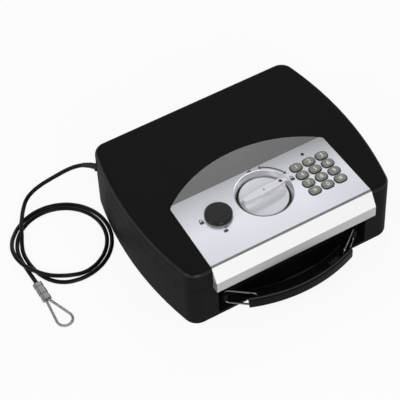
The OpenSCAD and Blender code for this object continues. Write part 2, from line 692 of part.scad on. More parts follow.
module knob() place() color([0.84, 0.84, 0.86]) translate([0, -knob_y, 0]) rotate([0, 0, knob_rest_a]) {
  difference() {
    union() {
      rotate_extrude($fn = 128) polygon([[0, cam_z + cam_floor], [shaft_r, cam_z + cam_floor],
        [shaft_r, face_z - knob_t], [knob_r, face_z - knob_t], [knob_r, face_z - 0.5],
        [knob_r - 0.5, face_z], [0, face_z]]);
      difference() {
        rod(knob_r - 0.9, face_z, face_z + bar_h, $fn = 128);
        for (s = [-1, 1]) {
          translate([-40, s > 0 ? 12 : -52, face_z]) cube([80, 40, bar_h + over]);
          scoop(s);
        }
      }
    }
    ring(shaft_r - 0.8, shaft_r + over, cam_z + cam_t + 0.1, cam_z + cam_t + 0.1 + clip_t + 0.1);
  }
}

// Curved cut that leaves the grip bar wider at its middle than at its ends
scoop_rise = bar_h;
scoop_reach = 12 - bar_w / 2;
scoop_r = (pow(scoop_reach, 2) + pow(scoop_rise, 2)) / (2 * scoop_rise);
scoop_bow = 169;
module scoop(s) translate([0, s * (12 - scoop_bow), face_z + scoop_r])
  rotate_extrude($fn = 180) translate([scoop_bow, 0]) circle(scoop_r);

module knob_cam() place() color([0.6, 0.6, 0.62]) translate([0, -knob_y, 0]) {
  difference() {
    rod(cam_r, cam_z, cam_z + cam_t);
    rod(shaft_r + 0.02, cam_z + cam_floor, cam_z + cam_t + over);
    for (a = [0, -knob_turn]) rotate([0, 0, a])
      block(cam_r - 2.8, cam_r + 2, -plunger_r - 0.4, plunger_r + 0.4, cam_z - over, cam_z + cam_t + over);
  }
  rotate([0, 0, crank_a]) translate([crank_r, 0, 0]) rod(crank_pin_r, bar_z - 0.2, cam_z + cam_floor / 2);
}

module knob_clip() place() color([0.5, 0.5, 0.52]) translate([0, -knob_y, 0])
  ring(shaft_r - 0.75, shaft_r + 2.6, cam_z + cam_t + 0.15, cam_z + cam_t + 0.15 + clip_t);

// Slides towards the back as the knob turns; its cross slot holds the crank pin
module latch_bar() place() color([0.62, 0.62, 0.64]) difference() {
  pin_x = crank_r * cos(crank_a);
  pin_y = -knob_y + crank_r * sin(crank_a);
  union() {
    block(-bolt_w / 2, bolt_w / 2, strike_y + bolt_gap, pin_y + 8, bar_z, bar_top);
    block(-bolt_w / 2, crank_r + crank_pin_r + 4, pin_y - 7, pin_y + 8, bar_z, bar_top);
  }
  block(pin_x - crank_pin_r - 0.5, crank_r + crank_pin_r + 0.5, pin_y - crank_pin_r - 0.4,
    pin_y + crank_pin_r + 0.4, bar_z - over, bar_top + over);
}

module latch_guides() place() color([0.3, 0.3, 0.32]) for (y = [front_y + 18, front_y + 36]) difference() {
  block(-bolt_w / 2 - guide_wall, bolt_w / 2 + guide_wall, y - 2.5, y + 2.5, bar_z - 1.4, chassis_z);
  block(-bolt_w / 2 - 0.2, bolt_w / 2 + 0.2, y - 4, y + 4, bar_z - 0.1, bar_top + 0.1);
}

module lock_chassis() place() color([0.5, 0.5, 0.52]) difference() {
  block(chassis_left, chassis_right, chassis_front, chassis_back, chassis_z, chassis_top);
  translate([0, -knob_y, 0]) rod(shaft_r + 0.4, chassis_z - over, chassis_top + over);
  translate([cap_cx, cap_cy, 0]) rod(housing_r + 0.4, chassis_z - over, chassis_top + over);
  for (x = CHASSIS_SCREW_X, y = CHASSIS_SCREW_Y) translate([x, y, 0])
    rod(1.3 + snug, chassis_z - over, chassis_top + over);
}

module chassis_screws() place() color([0.7, 0.7, 0.72]) for (x = CHASSIS_SCREW_X, y = CHASSIS_SCREW_Y)
  translate([x, y, 0]) {
    rod(2.6, chassis_z - 1.2, chassis_z);
    rod(1.3, chassis_z, roof_z - 1);
  }

module keypad_mat() place() color([0.35, 0.35, 0.34]) difference() {
  translate([board_cx, -board_cy, 0])
    block(-board_w / 2, board_w / 2, -board_d / 2, board_d / 2, board_top, pad_top);
  for (x = [-1, 1], y = [-1, 1])
    translate([board_cx + x * (board_w / 2 - 3), -board_cy + y * (board_d / 2 - 3), 0])
      rod(2.8, board_top - over, pad_top + over);
  translate([led_x, led_y, 0]) rod(led_r + 0.9, board_top - over, pad_top + over);
}

module circuit_board() place() color([0.1, 0.35, 0.16])
  translate([board_cx, -board_cy, 0])
    block(-board_w / 2, board_w / 2, -board_d / 2, board_d / 2, board_top - board_t, board_top);

module status_light() place() color([0.05, 0.05, 0.06]) translate([led_x, led_y, 0]) {
  rod(led_r, board_top, fascia_z + 0.1);
  rod(led_r + 0.5, board_top, board_top + 1);
}

module lid_liner() place() color([0.14, 0.14, 0.15]) difference() {
  union() {
    prism(outline(liner_in), liner_z, liner_top);
    for (s = [-1, 1]) translate([tray_x, tray_y + s * (door_d / 2 + 0.2), 0]) {
      block(-door_w / 2 - 2, door_w / 2, s > 0 ? 0 : -rail_w, s > 0 ? rail_w : 0, door_z - 1.7, liner_z);
      block(-door_w / 2 - 2, door_w / 2, s > 0 ? -2.2 : 0, s > 0 ? 0 : 2.2, door_z - 1.7, door_z - 0.2);
    }
    translate([tray_x - door_w / 2, tray_y, 0]) block(-2, -0.2, -door_d / 2, door_d / 2, door_z, liner_z);
  }
  translate([tray_x, tray_y, 0]) block(-tray_in_w / 2, tray_in_w / 2, -tray_in_d / 2, tray_in_d / 2,
    liner_z - over, liner_top + over);
  block(-20, 20, -body_d, strike_y + 3, liner_z - over, liner_top + over);
  for (x = LINER_SCREW_X, y = LINER_SCREW_Y) translate([x, y, 0])
    rod(1.5 + snug, liner_z - over, liner_top + over);
}

module liner_screws() place() color([0.3, 0.3, 0.31]) for (x = LINER_SCREW_X, y = LINER_SCREW_Y)
  translate([x, y, 0]) {
    rod(3, liner_z - 1.1, liner_z);
    rod(1.5, liner_z, roof_z - 6);
  }

module battery_tray() place() color([0.12, 0.12, 0.13]) translate([tray_x, tray_y, 0]) difference() {
  block(-tray_in_w / 2 - tray_wall, tray_in_w / 2 + tray_wall, -tray_in_d / 2 - tray_wall,
    tray_in_d / 2 + tray_wall, liner_top, tray_top);
  block(-tray_in_w / 2, tray_in_w / 2, -tray_in_d / 2, tray_in_d / 2, liner_top - over, tray_top - 1.5);
}

module at_batteries() for (i = [0:battery_n - 1])
  translate([tray_x + (i - (battery_n - 1) / 2) * battery_pitch, 0, 0]) children();

module batteries() place() color([0.2, 0.3, 0.5]) at_batteries() {
  inward(0, battery_z, battery_r, tray_y - battery_l / 2, tray_y + battery_l / 2 - 1.2);
  inward(0, battery_z, 2.7, tray_y + battery_l / 2 - 1.2, tray_y + battery_l / 2);
}

module battery_contacts() place() color([0.75, 0.74, 0.68]) at_batteries() for (s = [-1, 1])
  translate([0, tray_y + s * (battery_l / 2 + contact_t / 2), 0])
    block(-5, 5, -contact_t / 2, contact_t / 2, battery_z - 5, battery_z + 5);

// Slides to the right in the liner's rails
module battery_door() place() color([0.14, 0.14, 0.15]) translate([tray_x, tray_y, 0]) difference() {
  block(-door_w / 2, door_w / 2, -door_d / 2, door_d / 2, door_z, door_z + door_t);
  for (i = [-2:2]) translate([door_w / 2 - 12 + i * 3, 0, 0])
    block(-0.6, 0.6, -12, 12, door_z - over, door_z + 0.6);
}

module solenoid_body() place() color([0.45, 0.3, 0.15]) difference() {
  block(solenoid_x, solenoid_x + 26, -knob_y - 7, -knob_y + 7, cam_z - 2.5, chassis_z);
  across(solenoid_x - over, solenoid_x + 20, -knob_y, plunger_z, plunger_r + run);
}

module solenoid_plunger() place() color([0.7, 0.7, 0.72])
  across(cam_r + plunger_gap, cam_r + plunger_gap + plunger_l, -knob_y, plunger_z, plunger_r);

module key_lock_housing() place() color([0.7, 0.7, 0.72]) translate([cap_cx, cap_cy, 0]) difference() {
  union() {
    rod(housing_r, plug_z + 0.3, fascia_z);
    rod(lock_flange_r, fascia_z, fascia_z + 1.5);
  }
  rod(plug_r + run, plug_z - over, fascia_z + 3);
}

module key_lock_nut() place() color([0.66, 0.66, 0.68]) translate([cap_cx, cap_cy, 0]) difference() {
  translate([0, 0, roof_z - 4.4]) cylinder(r = housing_r + 4, h = 4.4, $fn = 6);
  rod(housing_r + snug, roof_z - 6, roof_z + over);
}

module key_plug() place() color([0.78, 0.76, 0.7]) translate([cap_cx, cap_cy, 0]) difference() {
  rod(plug_r, plug_z, fascia_z + 1.7);
  block(-3.4, 3.4, -0.6, 0.6, fascia_z - 7, fascia_z + 3);
}

// Arm under the plug, square to the keyway
module key_cam() place() color([0.6, 0.6, 0.62]) translate([cap_cx, cap_cy, 0]) {
  rod(plug_r + 1, plug_z - key_cam_t, plug_z);
  block(-3.5, 3.5, 0, 15, plug_z - key_cam_t, plug_z);
}

module lock_cap() place() color([0.08, 0.08, 0.09]) translate([cap_cx, cap_cy, 0]) rotate_extrude($fn = 96)
  polygon([[0, fascia_z + 2.6], [lock_flange_r + run, fascia_z + 2.6],
    [lock_flange_r + run, fascia_z + cap_seat], [cap_r, fascia_z + cap_seat],
    [cap_r, fascia_z + cap_h - 1.4], [cap_r - 0.4, fascia_z + cap_h - 0.6],
    [cap_r - 1.6, fascia_z + cap_h], [0, fascia_z + cap_h]]);

// One key: a flange under the roof, a stem through roof and fascia, a crowned top
module key(i) place() color([0.42, 0.43, 0.4]) at_key(i) {
  key_top = fascia_z + key_out;
  translate([0, 0, flange_z]) linear_extrude(key_flange_t) key_plan(0.85);
  translate([0, 0, flange_z + 0.5]) linear_extrude(key_top - 1.2 - flange_z - 0.5) key_plan(0);
  hull() {
    translate([0, 0, key_top - 1.3]) linear_extrude(0.4) key_plan(0);
    translate([0, 0, key_top - 0.6]) linear_extrude(0.3) key_plan(-0.5);
    translate([0, 0, key_top - 0.1]) linear_extrude(0.1) key_plan(-1.6);
  }
}
module key_1() key(0);
module key_2() key(1);
module key_3() key(2);
module key_4() key(3);
module key_5() key(4);
module key_6() key(5);
module key_7() key(6);
module key_8() key(7);
module key_9() key(8);
module key_star() key(9);
module key_0() key(10);
module key_hash() key(11);

// Grip and links

// A bent bar of rounded section with a slot near each end
module handle_grip() place() color([0.07, 0.07, 0.07]) translate([0, grip_cy, link_mid]) difference() {
  rotate([0, 0, -90 - grip_a]) rotate_extrude(angle = 2 * grip_a, $fn = 180)
    translate([grip_r - grip_t / 2, 0]) polygon(rounded(grip_t, grip_h, grip_edge, 4));
  for (s = [-1, 1]) {
    rotate([0, 0, -90 + s * (slot_a - slot_sweep / 2) - slot_sweep / 2])
      rotate_extrude(angle = slot_sweep, $fn = 180)
        translate([slot_r - slot_half, -grip_h]) square([2 * slot_half, 2 * grip_h]);
    for (a = [slot_a, slot_a - slot_sweep]) rotate([0, 0, -90 + s * a])
      translate([slot_r, 0, -grip_h]) cylinder(r = slot_half, h = 2 * grip_h);
    rotate([0, 0, -90 + s * grip_a]) translate([grip_r - grip_t, 0, 0])
      rotate([0, 0, 45]) cube([7, 7, 2 * grip_h], center = true);
  }
}
slot_half = wire_d / 2 + 0.9;
slot_sweep = (slot_len - 2 * slot_half) / slot_r * 180 / PI;

// A closed ring of wire from the lug to the grip's slot
module wire_link() translate([link_x, link_y, link_mid]) rotate([0, 0, 180 + link_a]) {
  for (x = [0, link_len]) translate([x, 0, link_bend - link_h / 2])
    cylinder(r = wire_d / 2, h = link_h - 2 * link_bend);
  for (z = [-link_h / 2, link_h / 2]) translate([link_bend, 0, z]) rotate([0, 90, 0])
    cylinder(r = wire_d / 2, h = link_len - 2 * link_bend);
  for (i = [0:3]) {
    x = i < 2 ? link_bend : link_len - link_bend;
    z = i % 2 == 0 ? link_bend - link_h / 2 : link_h / 2 - link_bend;
    a = [180, 90, 270, 0][i];
    translate([x, 0, z]) rotate([90, 0, 0]) rotate([0, 0, a]) rotate_extrude(angle = 90)
      translate([link_bend, 0]) circle(wire_d / 2);
  }
}
module right_wire_link() place() color([0.8, 0.8, 0.82]) wire_link();
module left_wire_link() place() color([0.8, 0.8, 0.82]) mirror([1, 0, 0]) wire_link();

body_shell();
floor_mat();
feet();
hinge_base_leaves();
hinge_pins();
hinge_base_screws();
strike_plate();
strike_screws();
handle_brackets();
bracket_screws();
cable_grommet();
cable_stop();
cable_lead();
cable_coil();
cable_ferrule();
cable_eye();
lid_shell();
lid_liner();
liner_screws();
fascia();
knob_dish();
keypad_mat();
status_light();
circuit_board();
battery_tray();
batteries();
battery_contacts();
solenoid_body();
key_lock_housing();
key_lock_nut();
latch_guides();
lock_chassis();
chassis_screws();
hinge_lid_leaves();
hinge_lid_screws();
knob();
knob_cam();
knob_clip();
latch_bar();
key_1();
key_2();
key_3();
key_4();
key_5();
key_6();
key_7();
key_8();
key_9();
key_star();
key_0();
key_hash();
key_plug();
key_cam();
lock_cap();
solenoid_plunger();
battery_door();
handle_grip();
left_wire_link();
right_wire_link();
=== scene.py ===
import math

import bmesh
import bpy
from bpy.props import FloatProperty, FloatVectorProperty, PointerProperty
from mathutils import Matrix, Vector


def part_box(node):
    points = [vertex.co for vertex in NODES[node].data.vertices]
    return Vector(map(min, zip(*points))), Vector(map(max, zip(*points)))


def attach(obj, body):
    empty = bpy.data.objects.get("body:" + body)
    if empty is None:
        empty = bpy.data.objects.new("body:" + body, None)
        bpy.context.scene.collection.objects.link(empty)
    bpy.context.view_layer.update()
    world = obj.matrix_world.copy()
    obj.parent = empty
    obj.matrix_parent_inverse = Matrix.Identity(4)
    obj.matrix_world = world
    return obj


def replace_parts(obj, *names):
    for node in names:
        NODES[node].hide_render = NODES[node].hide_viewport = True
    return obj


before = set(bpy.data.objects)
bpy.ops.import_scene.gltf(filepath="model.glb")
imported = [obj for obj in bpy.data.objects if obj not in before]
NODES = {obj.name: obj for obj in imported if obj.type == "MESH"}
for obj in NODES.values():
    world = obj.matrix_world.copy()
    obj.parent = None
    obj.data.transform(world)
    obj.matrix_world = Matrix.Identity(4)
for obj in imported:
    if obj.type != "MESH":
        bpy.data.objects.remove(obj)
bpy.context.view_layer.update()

bl_info = {
    "name": "Portable electronic safe",
    "version": (1, 0, 0),
    "blender": (4, 5, 0),
    "location": "3D View > Sidebar > Safe",
    "description": "Finishes, cable, print and small pieces of a portable electronic safe",
    "category": "Object",
}

MM = 0.001
SHARP_FROM = math.radians(34)

# How steeply masks rise, per metre: at a border, and for the fascia's painted light along the fascia and
# forward from its crease
MASK_STEEPNESS = 4000.0
ACROSS_RATE = 5.0
FORWARD_RATE = 19.0

# Where the enamel's coat, the grip's painted highlight and the keys' painted shade sit, by how far upward a
# surface faces, and how fast they fade from there
SHOULDER_UP = (0.55, 3.0)
GRIP_HIGHLIGHT_UP = (0.84, 9.0)
KEY_SIDE_UP = 0.62
KEY_SIDE_FADE = 4.0

# Places on the lid, the same as in the part's source, in millimetres from the middle of the body
MIDDLE_Y = 13.8
FASCIA_TOP = 88.6
CREASE_Y = -13.7
RIDGE_Y = -108.6
GROOVE_Y = -107.8
GROOVE_HALF = 1.3
SLOPE_FOOT = 71.4
KNOB_CENTRE = (0.0, -50.4)
KNOB_REST = 3.0
KNOB_TOP = 94.6
DISH_FLOOR_RADIUS = 28.8
DISH_LIP_RADIUS = 32.1
KEY_FIRST = (48.5, -38.5)
KEY_STEP = (16.4, -12.8)
KEY_TOP = 90.5
KEY_HALF_WIDTH = 6.5
KEY_HALF_DEPTH = 5.0
KEY_CORNER = 4.4
CAP_CENTRE = (-57.6, -51.4)
CAP_RADIUS = 15.4
CAP_TOP = 93.8
CAP_SHOULDER = 1.7
CAP_WALL = 1.0
CAP_GAP = 0.12
CAP_SEAT = 2.7
CAP_SIDES = 96


def spot(x, y, z):
    """A place in millimetres from the middle of the body, in metres in the frame."""
    return Vector((x, y + MIDDLE_Y, z)) * MM


def piece(name, mesh, body, finish, smooth=True):
    """A mesh in the frame's own coordinates, as a piece that rides on a body."""
    made = bpy.data.objects.new(name, mesh)
    bpy.context.scene.collection.objects.link(made)
    mesh.materials.clear()
    mesh.materials.append(finish)
    if smooth:
        mesh.shade_smooth()
        mesh.set_sharp_from_angle(angle=SHARP_FROM)
    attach(made, body)
    return made


def mesh_of(shape, name):
    """A mesh out of a finished bmesh, its points merged and its faces turned outward."""
    bmesh.ops.remove_doubles(shape, verts=shape.verts, dist=1e-7)
    bmesh.ops.recalc_face_normals(shape, faces=shape.faces)
    mesh = bpy.data.meshes.new(name)
    shape.to_mesh(mesh)
    shape.free()
    return mesh


def circle(radius, count, cx=0.0, cy=0.0):
    """Points on a circle about a centre, as pairs."""
    return [(cx + radius * math.cos(a), cy + radius * math.sin(a))
            for a in (2 * math.pi * k / count for k in range(count))]


def bridge(shape, near, far):
    """Faces between two rings of points, one of which may be a single point."""
    count = max(len(near), len(far))
    for k in range(count):
        j = (k + 1) % count
        if len(near) == 1:
            shape.faces.new((near[0], far[j], far[k]))
        elif len(far) == 1:
            shape.faces.new((near[k], near[j], far[0]))
        else:
            shape.faces.new((near[k], near[j], far[j], far[k]))


# Effects that several materials share

def effect(name, inputs, outputs):
    """An empty node group with its sockets; returns the group, its inputs and outputs."""
    group = bpy.data.node_groups.new(name, "ShaderNodeTree")
    for label, start in inputs:
        socket = group.interface.new_socket(label, in_out="INPUT", socket_type="NodeSocketFloat")
        socket.default_value = start
    for label in outputs:
        group.interface.new_socket(label, in_out="OUTPUT", socket_type="NodeSocketFloat")
    return group, group.nodes.new("NodeGroupInput"), group.nodes.new("NodeGroupOutput")


def maths(tree, how, first, second=0.0, clamp=False):
    """The result of a sum over numbers and sockets."""
    node = tree.nodes.new("ShaderNodeMath")
    node.operation = how
    node.use_clamp = clamp
    for socket, value in zip(node.inputs, (first, second)):
        if isinstance(value, (int, float)):
            socket.default_value = value
        else:
            tree.links.new(value, socket)
    return node.outputs[0]


def axes(tree, which):
    """The X, Y and Z of one of the coordinates that a surface has."""
    where = tree.nodes.new("ShaderNodeTexCoord")
    parts = tree.nodes.new("ShaderNodeSeparateXYZ")
    tree.links.new(where.outputs[which], parts.inputs[0])
    return parts.outputs


def above(tree, place, level):
    """0 below a level and 1 above it."""
    return maths(tree, "MULTIPLY", maths(tree, "SUBTRACT", place, level), MASK_STEEPNESS, clamp=True)


def near_level(tree, place, level, steepness):
    """1 at a level, falling to 0 on both sides of it."""
    apart = maths(tree, "ABSOLUTE", maths(tree, "SUBTRACT", place, level))
    return maths(tree, "SUBTRACT", 1.0, maths(tree, "MULTIPLY", apart, steepness), clamp=True)


def noise_in(tree, size, stretch=(1, 1, 1), detail=2.0):
    """Noise over the object's own coordinates; size is in millimetres and may be a socket."""
    where = tree.nodes.new("ShaderNodeTexCoord")
    along = tree.nodes.new("ShaderNodeVectorMath")
    along.operation = "MULTIPLY"
    along.inputs[1].default_value = stretch
    tree.links.new(where.outputs["Object"], along.inputs[0])
    scaled = tree.nodes.new("ShaderNodeVectorMath")
    scaled.operation = "SCALE"
    tree.links.new(along.outputs[0], scaled.inputs[0])
    tree.links.new(maths(tree, "DIVIDE", 1000.0, size), scaled.inputs["Scale"])
    noise = tree.nodes.new("ShaderNodeTexNoise")
    noise.inputs["Scale"].default_value = 1.0
    noise.inputs["Detail"].default_value = detail
    tree.links.new(scaled.outputs[0], noise.inputs["Vector"])
    return noise.outputs["Fac"]


def build_surface_grain():
    """Fine pebbling of enamel and moulded plastic."""
    group, given, out = effect("surface_grain", [("Size", 0.5)], ["Height"])
    fine = noise_in(group, given.outputs["Size"], detail=3.0)
    coarse = noise_in(group, maths(group, "MULTIPLY", given.outputs["Size"], 3.1), detail=1.0)
    group.links.new(maths(group, "ADD", fine, maths(group, "MULTIPLY", coarse, 0.4)), out.inputs["Height"])
    return group


def build_uneven_sheen():
    """Roughness that wanders a little over the surface, as handling leaves it."""
    group, given, out = effect(
        "uneven_sheen", [("Roughness", 0.5), ("Spread", 0.06), ("Size", 45.0)], ["Roughness", "Cloud"])
    cloud = noise_in(group, given.outputs["Size"], detail=4.0)
    swing = maths(group, "MULTIPLY", maths(group, "SUBTRACT", cloud, 0.5), 2.0)
    swing = maths(group, "MULTIPLY", swing, given.outputs["Spread"])
    group.links.new(maths(group, "ADD", given.outputs["Roughness"], swing), out.inputs["Roughness"])
    group.links.new(cloud, out.inputs["Cloud"])
    return group


def build_edge_wear_and_painted_light():
    """A mask high on edges, broken up by noise: wear on most finishes, and painted light along the edges of
    the fascia and the knob.
    """
    group, given, out = effect("edge_wear_and_painted_light", [("Width", 0.5), ("Strength", 1.0)], ["Mask"])
    bevel = group.nodes.new("ShaderNodeBevel")
    bevel.samples = 4
    group.links.new(maths(group, "MULTIPLY", given.outputs["Width"], MM), bevel.inputs["Radius"])
    facing = group.nodes.new("ShaderNodeNewGeometry")
    dot = group.nodes.new("ShaderNodeVectorMath")
    dot.operation = "DOT_PRODUCT"
    group.links.new(bevel.outputs[0], dot.inputs[0])
    group.links.new(facing.outputs["Normal"], dot.inputs[1])
    wear_and_painted_light = maths(group, "MULTIPLY", maths(group, "SUBTRACT", 1.0, dot.outputs["Value"]), 3.0, clamp=True)
    patches = maths(group, "MULTIPLY", noise_in(group, 6.0, detail=3.0), 1.4)
    broken = maths(group, "ADD", patches, -0.25, clamp=True)
    patchy_wear_and_painted_light = maths(group, "MULTIPLY", wear_and_painted_light, broken)
    group.links.new(maths(group, "MULTIPLY", patchy_wear_and_painted_light, given.outputs["Strength"], clamp=True), out.inputs["Mask"])
    return group


def build_drawn_lines():
    """Long fine scratches of drawn wire and rolled plate, along x."""
    group, given, out = effect("drawn_lines", [("Size", 0.3)], ["Height"])
    drawn = noise_in(group, given.outputs["Size"], stretch=(0.03, 1, 1))
    group.links.new(drawn, out.inputs["Height"])
    return group


def build_round_mask():
    """0 inside a radius about an upright axis and 1 outside it, in metres."""
    group, given, out = effect("round_mask", [("X", 0.0), ("Y", 0.0), ("Radius", 0.01)], ["Outside"])
    place = axes(group, "Object")
    squares = []
    for label in "XY":
        apart = maths(group, "SUBTRACT", place[label], given.outputs[label])
        squares.append(maths(group, "MULTIPLY", apart, apart))
    reach = maths(group, "SQRT", maths(group, "ADD", *squares))
    group.links.new(above(group, reach, given.outputs["Radius"]), out.inputs["Outside"])
    return group


BUILDERS = {"surface_grain": build_surface_grain, "uneven_sheen": build_uneven_sheen,
            "edge_wear_and_painted_light": build_edge_wear_and_painted_light, "drawn_lines": build_drawn_lines,
            "round_mask": build_round_mask}
EFFECTS = {}


def use_effect(tree, name, **values):
    """A shared effect in a material, built when it is first asked for."""
    if name not in EFFECTS:
        EFFECTS[name] = BUILDERS[name]()
    node = tree.nodes.new("ShaderNodeGroup")
    node.node_tree = EFFECTS[name]
    for label, value in values.items():
        node.inputs[label].default_value = value
    return node


def mixed(tree, factor, first, second):
    """A colour between two; each may be a colour or a socket."""
    node = tree.nodes.new("ShaderNodeMix")
    node.data_type = "RGBA"
    for socket, value in ((node.inputs[0], factor), (node.inputs[6], first), (node.inputs[7], second)):
        if isinstance(value, bpy.types.NodeSocket):
            tree.links.new(value, socket)
        elif isinstance(value, (int, float)):
            socket.default_value = value
        else:
            socket.default_value = (*value[:3], 1.0)
    return node.outputs[2]


def outside_of(tree, centre, radius):
    """The mask for what lies outside of a circle on the lid, in millimetres."""
    middle = spot(*centre, 0)
    return use_effect(tree, "round_mask", X=middle.x, Y=middle.y, Radius=radius * MM).outputs["Outside"]


def shader_of(name):
    """A new material, its node tree and its shader."""
    made = bpy.data.materials.new(name)
    made.use_nodes = True
    return made, made.node_tree, made.node_tree.nodes["Principled BSDF"]


def dress(tree, shader, colour, roughness, grain=0.5, depth=0.02, spread=0.06, cloud=0.12, edge=0.0,
          edge_colour=(0.3, 0.3, 0.3), edge_width=0.5, lines=0.0):
    """Wires colour, sheen, grain and edge colour into a material's shader; the edge colour is wear on most
    finishes and painted light on the fascia and the knob.
    """
    sheen = use_effect(tree, "uneven_sheen", Roughness=roughness, Spread=spread)
    tree.links.new(sheen.outputs["Roughness"], shader.inputs["Roughness"])
    pebble = use_effect(tree, "surface_grain", Size=grain)
    if isinstance(colour, bpy.types.NodeSocket):
        shade = colour
    else:
        darker = [c * (1.0 - cloud) for c in colour[:3]]
        lighter = [min(1.0, c * (1.0 + cloud)) for c in colour[:3]]
        shade = mixed(tree, sheen.outputs["Cloud"], darker, lighter)
    if edge:
        wear_and_painted_light = use_effect(tree, "edge_wear_and_painted_light", Width=edge_width, Strength=edge)
        shade = mixed(tree, wear_and_painted_light.outputs["Mask"], shade, edge_colour)
    tree.links.new(shade, shader.inputs["Base Color"])
    bump = tree.nodes.new("ShaderNodeBump")
    bump.inputs["Strength"].default_value = 1.0
    bump.inputs["Distance"].default_value = depth * MM
    height = pebble.outputs["Height"]
    if lines:
        drawn = use_effect(tree, "drawn_lines", Size=lines)
        height = maths(tree, "ADD", height, maths(tree, "MULTIPLY", drawn.outputs["Height"], 1.5))
    tree.links.new(height, bump.inputs["Height"])
    tree.links.new(bump.outputs["Normal"], shader.inputs["Normal"])


# Plain finishes: colour, roughness, metallic, and what dress() takes
FINISHES = {
    "zinc_plate": ((0.52, 0.52, 0.54), 0.38, 1.0, {"grain": 1.2, "depth": 0.02, "lines": 0.25, "edge": 0.5}),
    "screw_zinc": ((0.6, 0.6, 0.62), 0.3, 1.0, {"grain": 0.4, "depth": 0.01}),
    "bright_steel": ((0.78, 0.78, 0.8), 0.17, 1.0, {"grain": 0.3, "depth": 0.006, "lines": 0.2,
                                                    "spread": 0.04}),
    "link_wire": ((0.17, 0.17, 0.175), 0.14, 1.0, {"grain": 0.3, "depth": 0.004, "spread": 0.04}),
    "black_oxide": ((0.03, 0.03, 0.03), 0.4, 0.6, {"grain": 0.4, "depth": 0.01}),
    "rubber_foot": ((0.009, 0.009, 0.0095), 0.75, 0.0, {"grain": 0.5, "depth": 0.03}),
    "liner_plastic": ((0.035, 0.035, 0.038), 0.55, 0.0, {"grain": 0.6, "depth": 0.04, "edge": 0.2}),
    "lock_brass": ((0.68, 0.52, 0.26), 0.28, 1.0, {"grain": 0.3, "depth": 0.006, "lines": 0.2}),
    "board_green": ((0.012, 0.09, 0.035), 0.35, 0.0, {"grain": 2.5, "depth": 0.02}),
    "battery_sleeve": ((0.02, 0.05, 0.16), 0.25, 0.0, {"grain": 0.8, "depth": 0.004, "lines": 1.0}),
    "coil_varnish": ((0.42, 0.13, 0.04), 0.28, 0.4, {"grain": 0.5, "depth": 0.05, "lines": 0.45}),
    "crimp_aluminium": ((0.26, 0.255, 0.25), 0.38, 1.0, {"grain": 0.7, "depth": 0.03, "edge": 0.3,
                                                        "edge_colour": (0.6, 0.6, 0.6)}),
    "lens_dark": ((0.012, 0.01, 0.012), 0.08, 0.0, {"grain": 2.0, "depth": 0.001, "spread": 0.02}),
}
MADE = {}


def finish(name):
    """A plain finish, made when it is first asked for."""
    if name not in MADE:
        colour, roughness, metallic, how = FINISHES[name]
        made, tree, shader = shader_of(name)
        dress(tree, shader, colour, roughness, **how)
        shader.inputs["Metallic"].default_value = metallic
        MADE[name] = made
    return MADE[name]


def give(finish_made, *nodes):
    """Puts a finish on CAD nodes."""
    for name in nodes:
        slots = NODES[name].data.materials
        slots.clear()
        slots.append(finish_made)


def colour_setting(name, about, start):
    """A colour that the panel shows."""
    return FloatVectorProperty(name=name, description=about, default=start, min=0.0, max=1.0,
                               subtype="COLOR")


def length_setting(name, about, start, low, high):
    """A length in metres that the panel shows."""
    return FloatProperty(name=name, description=about, default=start, min=low, max=high, unit="LENGTH",
                         precision=4)


class SafeStageSettings(bpy.types.PropertyGroup):
    elevation: FloatProperty(name="Elevation", description="Height of the camera above the horizon",
                             default=math.radians(50.0), subtype="ANGLE")
    azimuth: FloatProperty(name="Azimuth", description="Turn of the camera to the left of the front",
                           default=math.radians(-28.0), subtype="ANGLE")
    roll: FloatProperty(name="Roll", description="Turn of the camera about its own view",
                        default=math.radians(-3.0), subtype="ANGLE")
    distance: FloatProperty(name="Distance", description="From the camera to the point it aims at",
                            default=1.8947, unit="LENGTH")
    aim: FloatVectorProperty(name="Aim", description="The point the camera looks at",
                             default=(-0.0445, 0.0273, 0.04), subtype="TRANSLATION")
    lens: FloatProperty(name="Lens", description="Focal length on a 36 mm sensor", default=153.0,
                        subtype="DISTANCE_CAMERA")
    floor_colour: colour_setting("Floor", "Colour of the floor", (0.93, 0.93, 0.93))
    surroundings: FloatProperty(name="Surroundings", description="Light from all round", default=0.45,
                                min=0.0)
    ceiling: FloatProperty(name="Ceiling", description="How bright reflections of the ceiling are",
                           default=0.45, min=0.0, max=1.0)


class SafeCableSettings(bpy.types.PropertyGroup):
    diameter: length_setting("Diameter", "Thickness over the vinyl", 0.0048, 0.003, 0.008)
    vinyl: colour_setting("Vinyl", "Colour of the cable's sheath", (0.0014, 0.0014, 0.0015))
    boot_length: length_setting("Boot", "Length of the rubber boot at the wall", 0.016, 0.008, 0.03)
    strand_pitch: length_setting("Strand pitch", "Length of one twist of the bare rope", 0.017, 0.008, 0.04)


class SafeShellSettings(bpy.types.PropertyGroup):
    enamel: colour_setting("Enamel", "Colour of base and lid", (0.0096, 0.0087, 0.0086))
    grain: FloatProperty(name="Grain", description="Size of the enamel's texture in millimetres",
                         default=0.55)
    mat_colour: colour_setting("Mat", "Colour of the mat on the floor", (0.02, 0.02, 0.021))


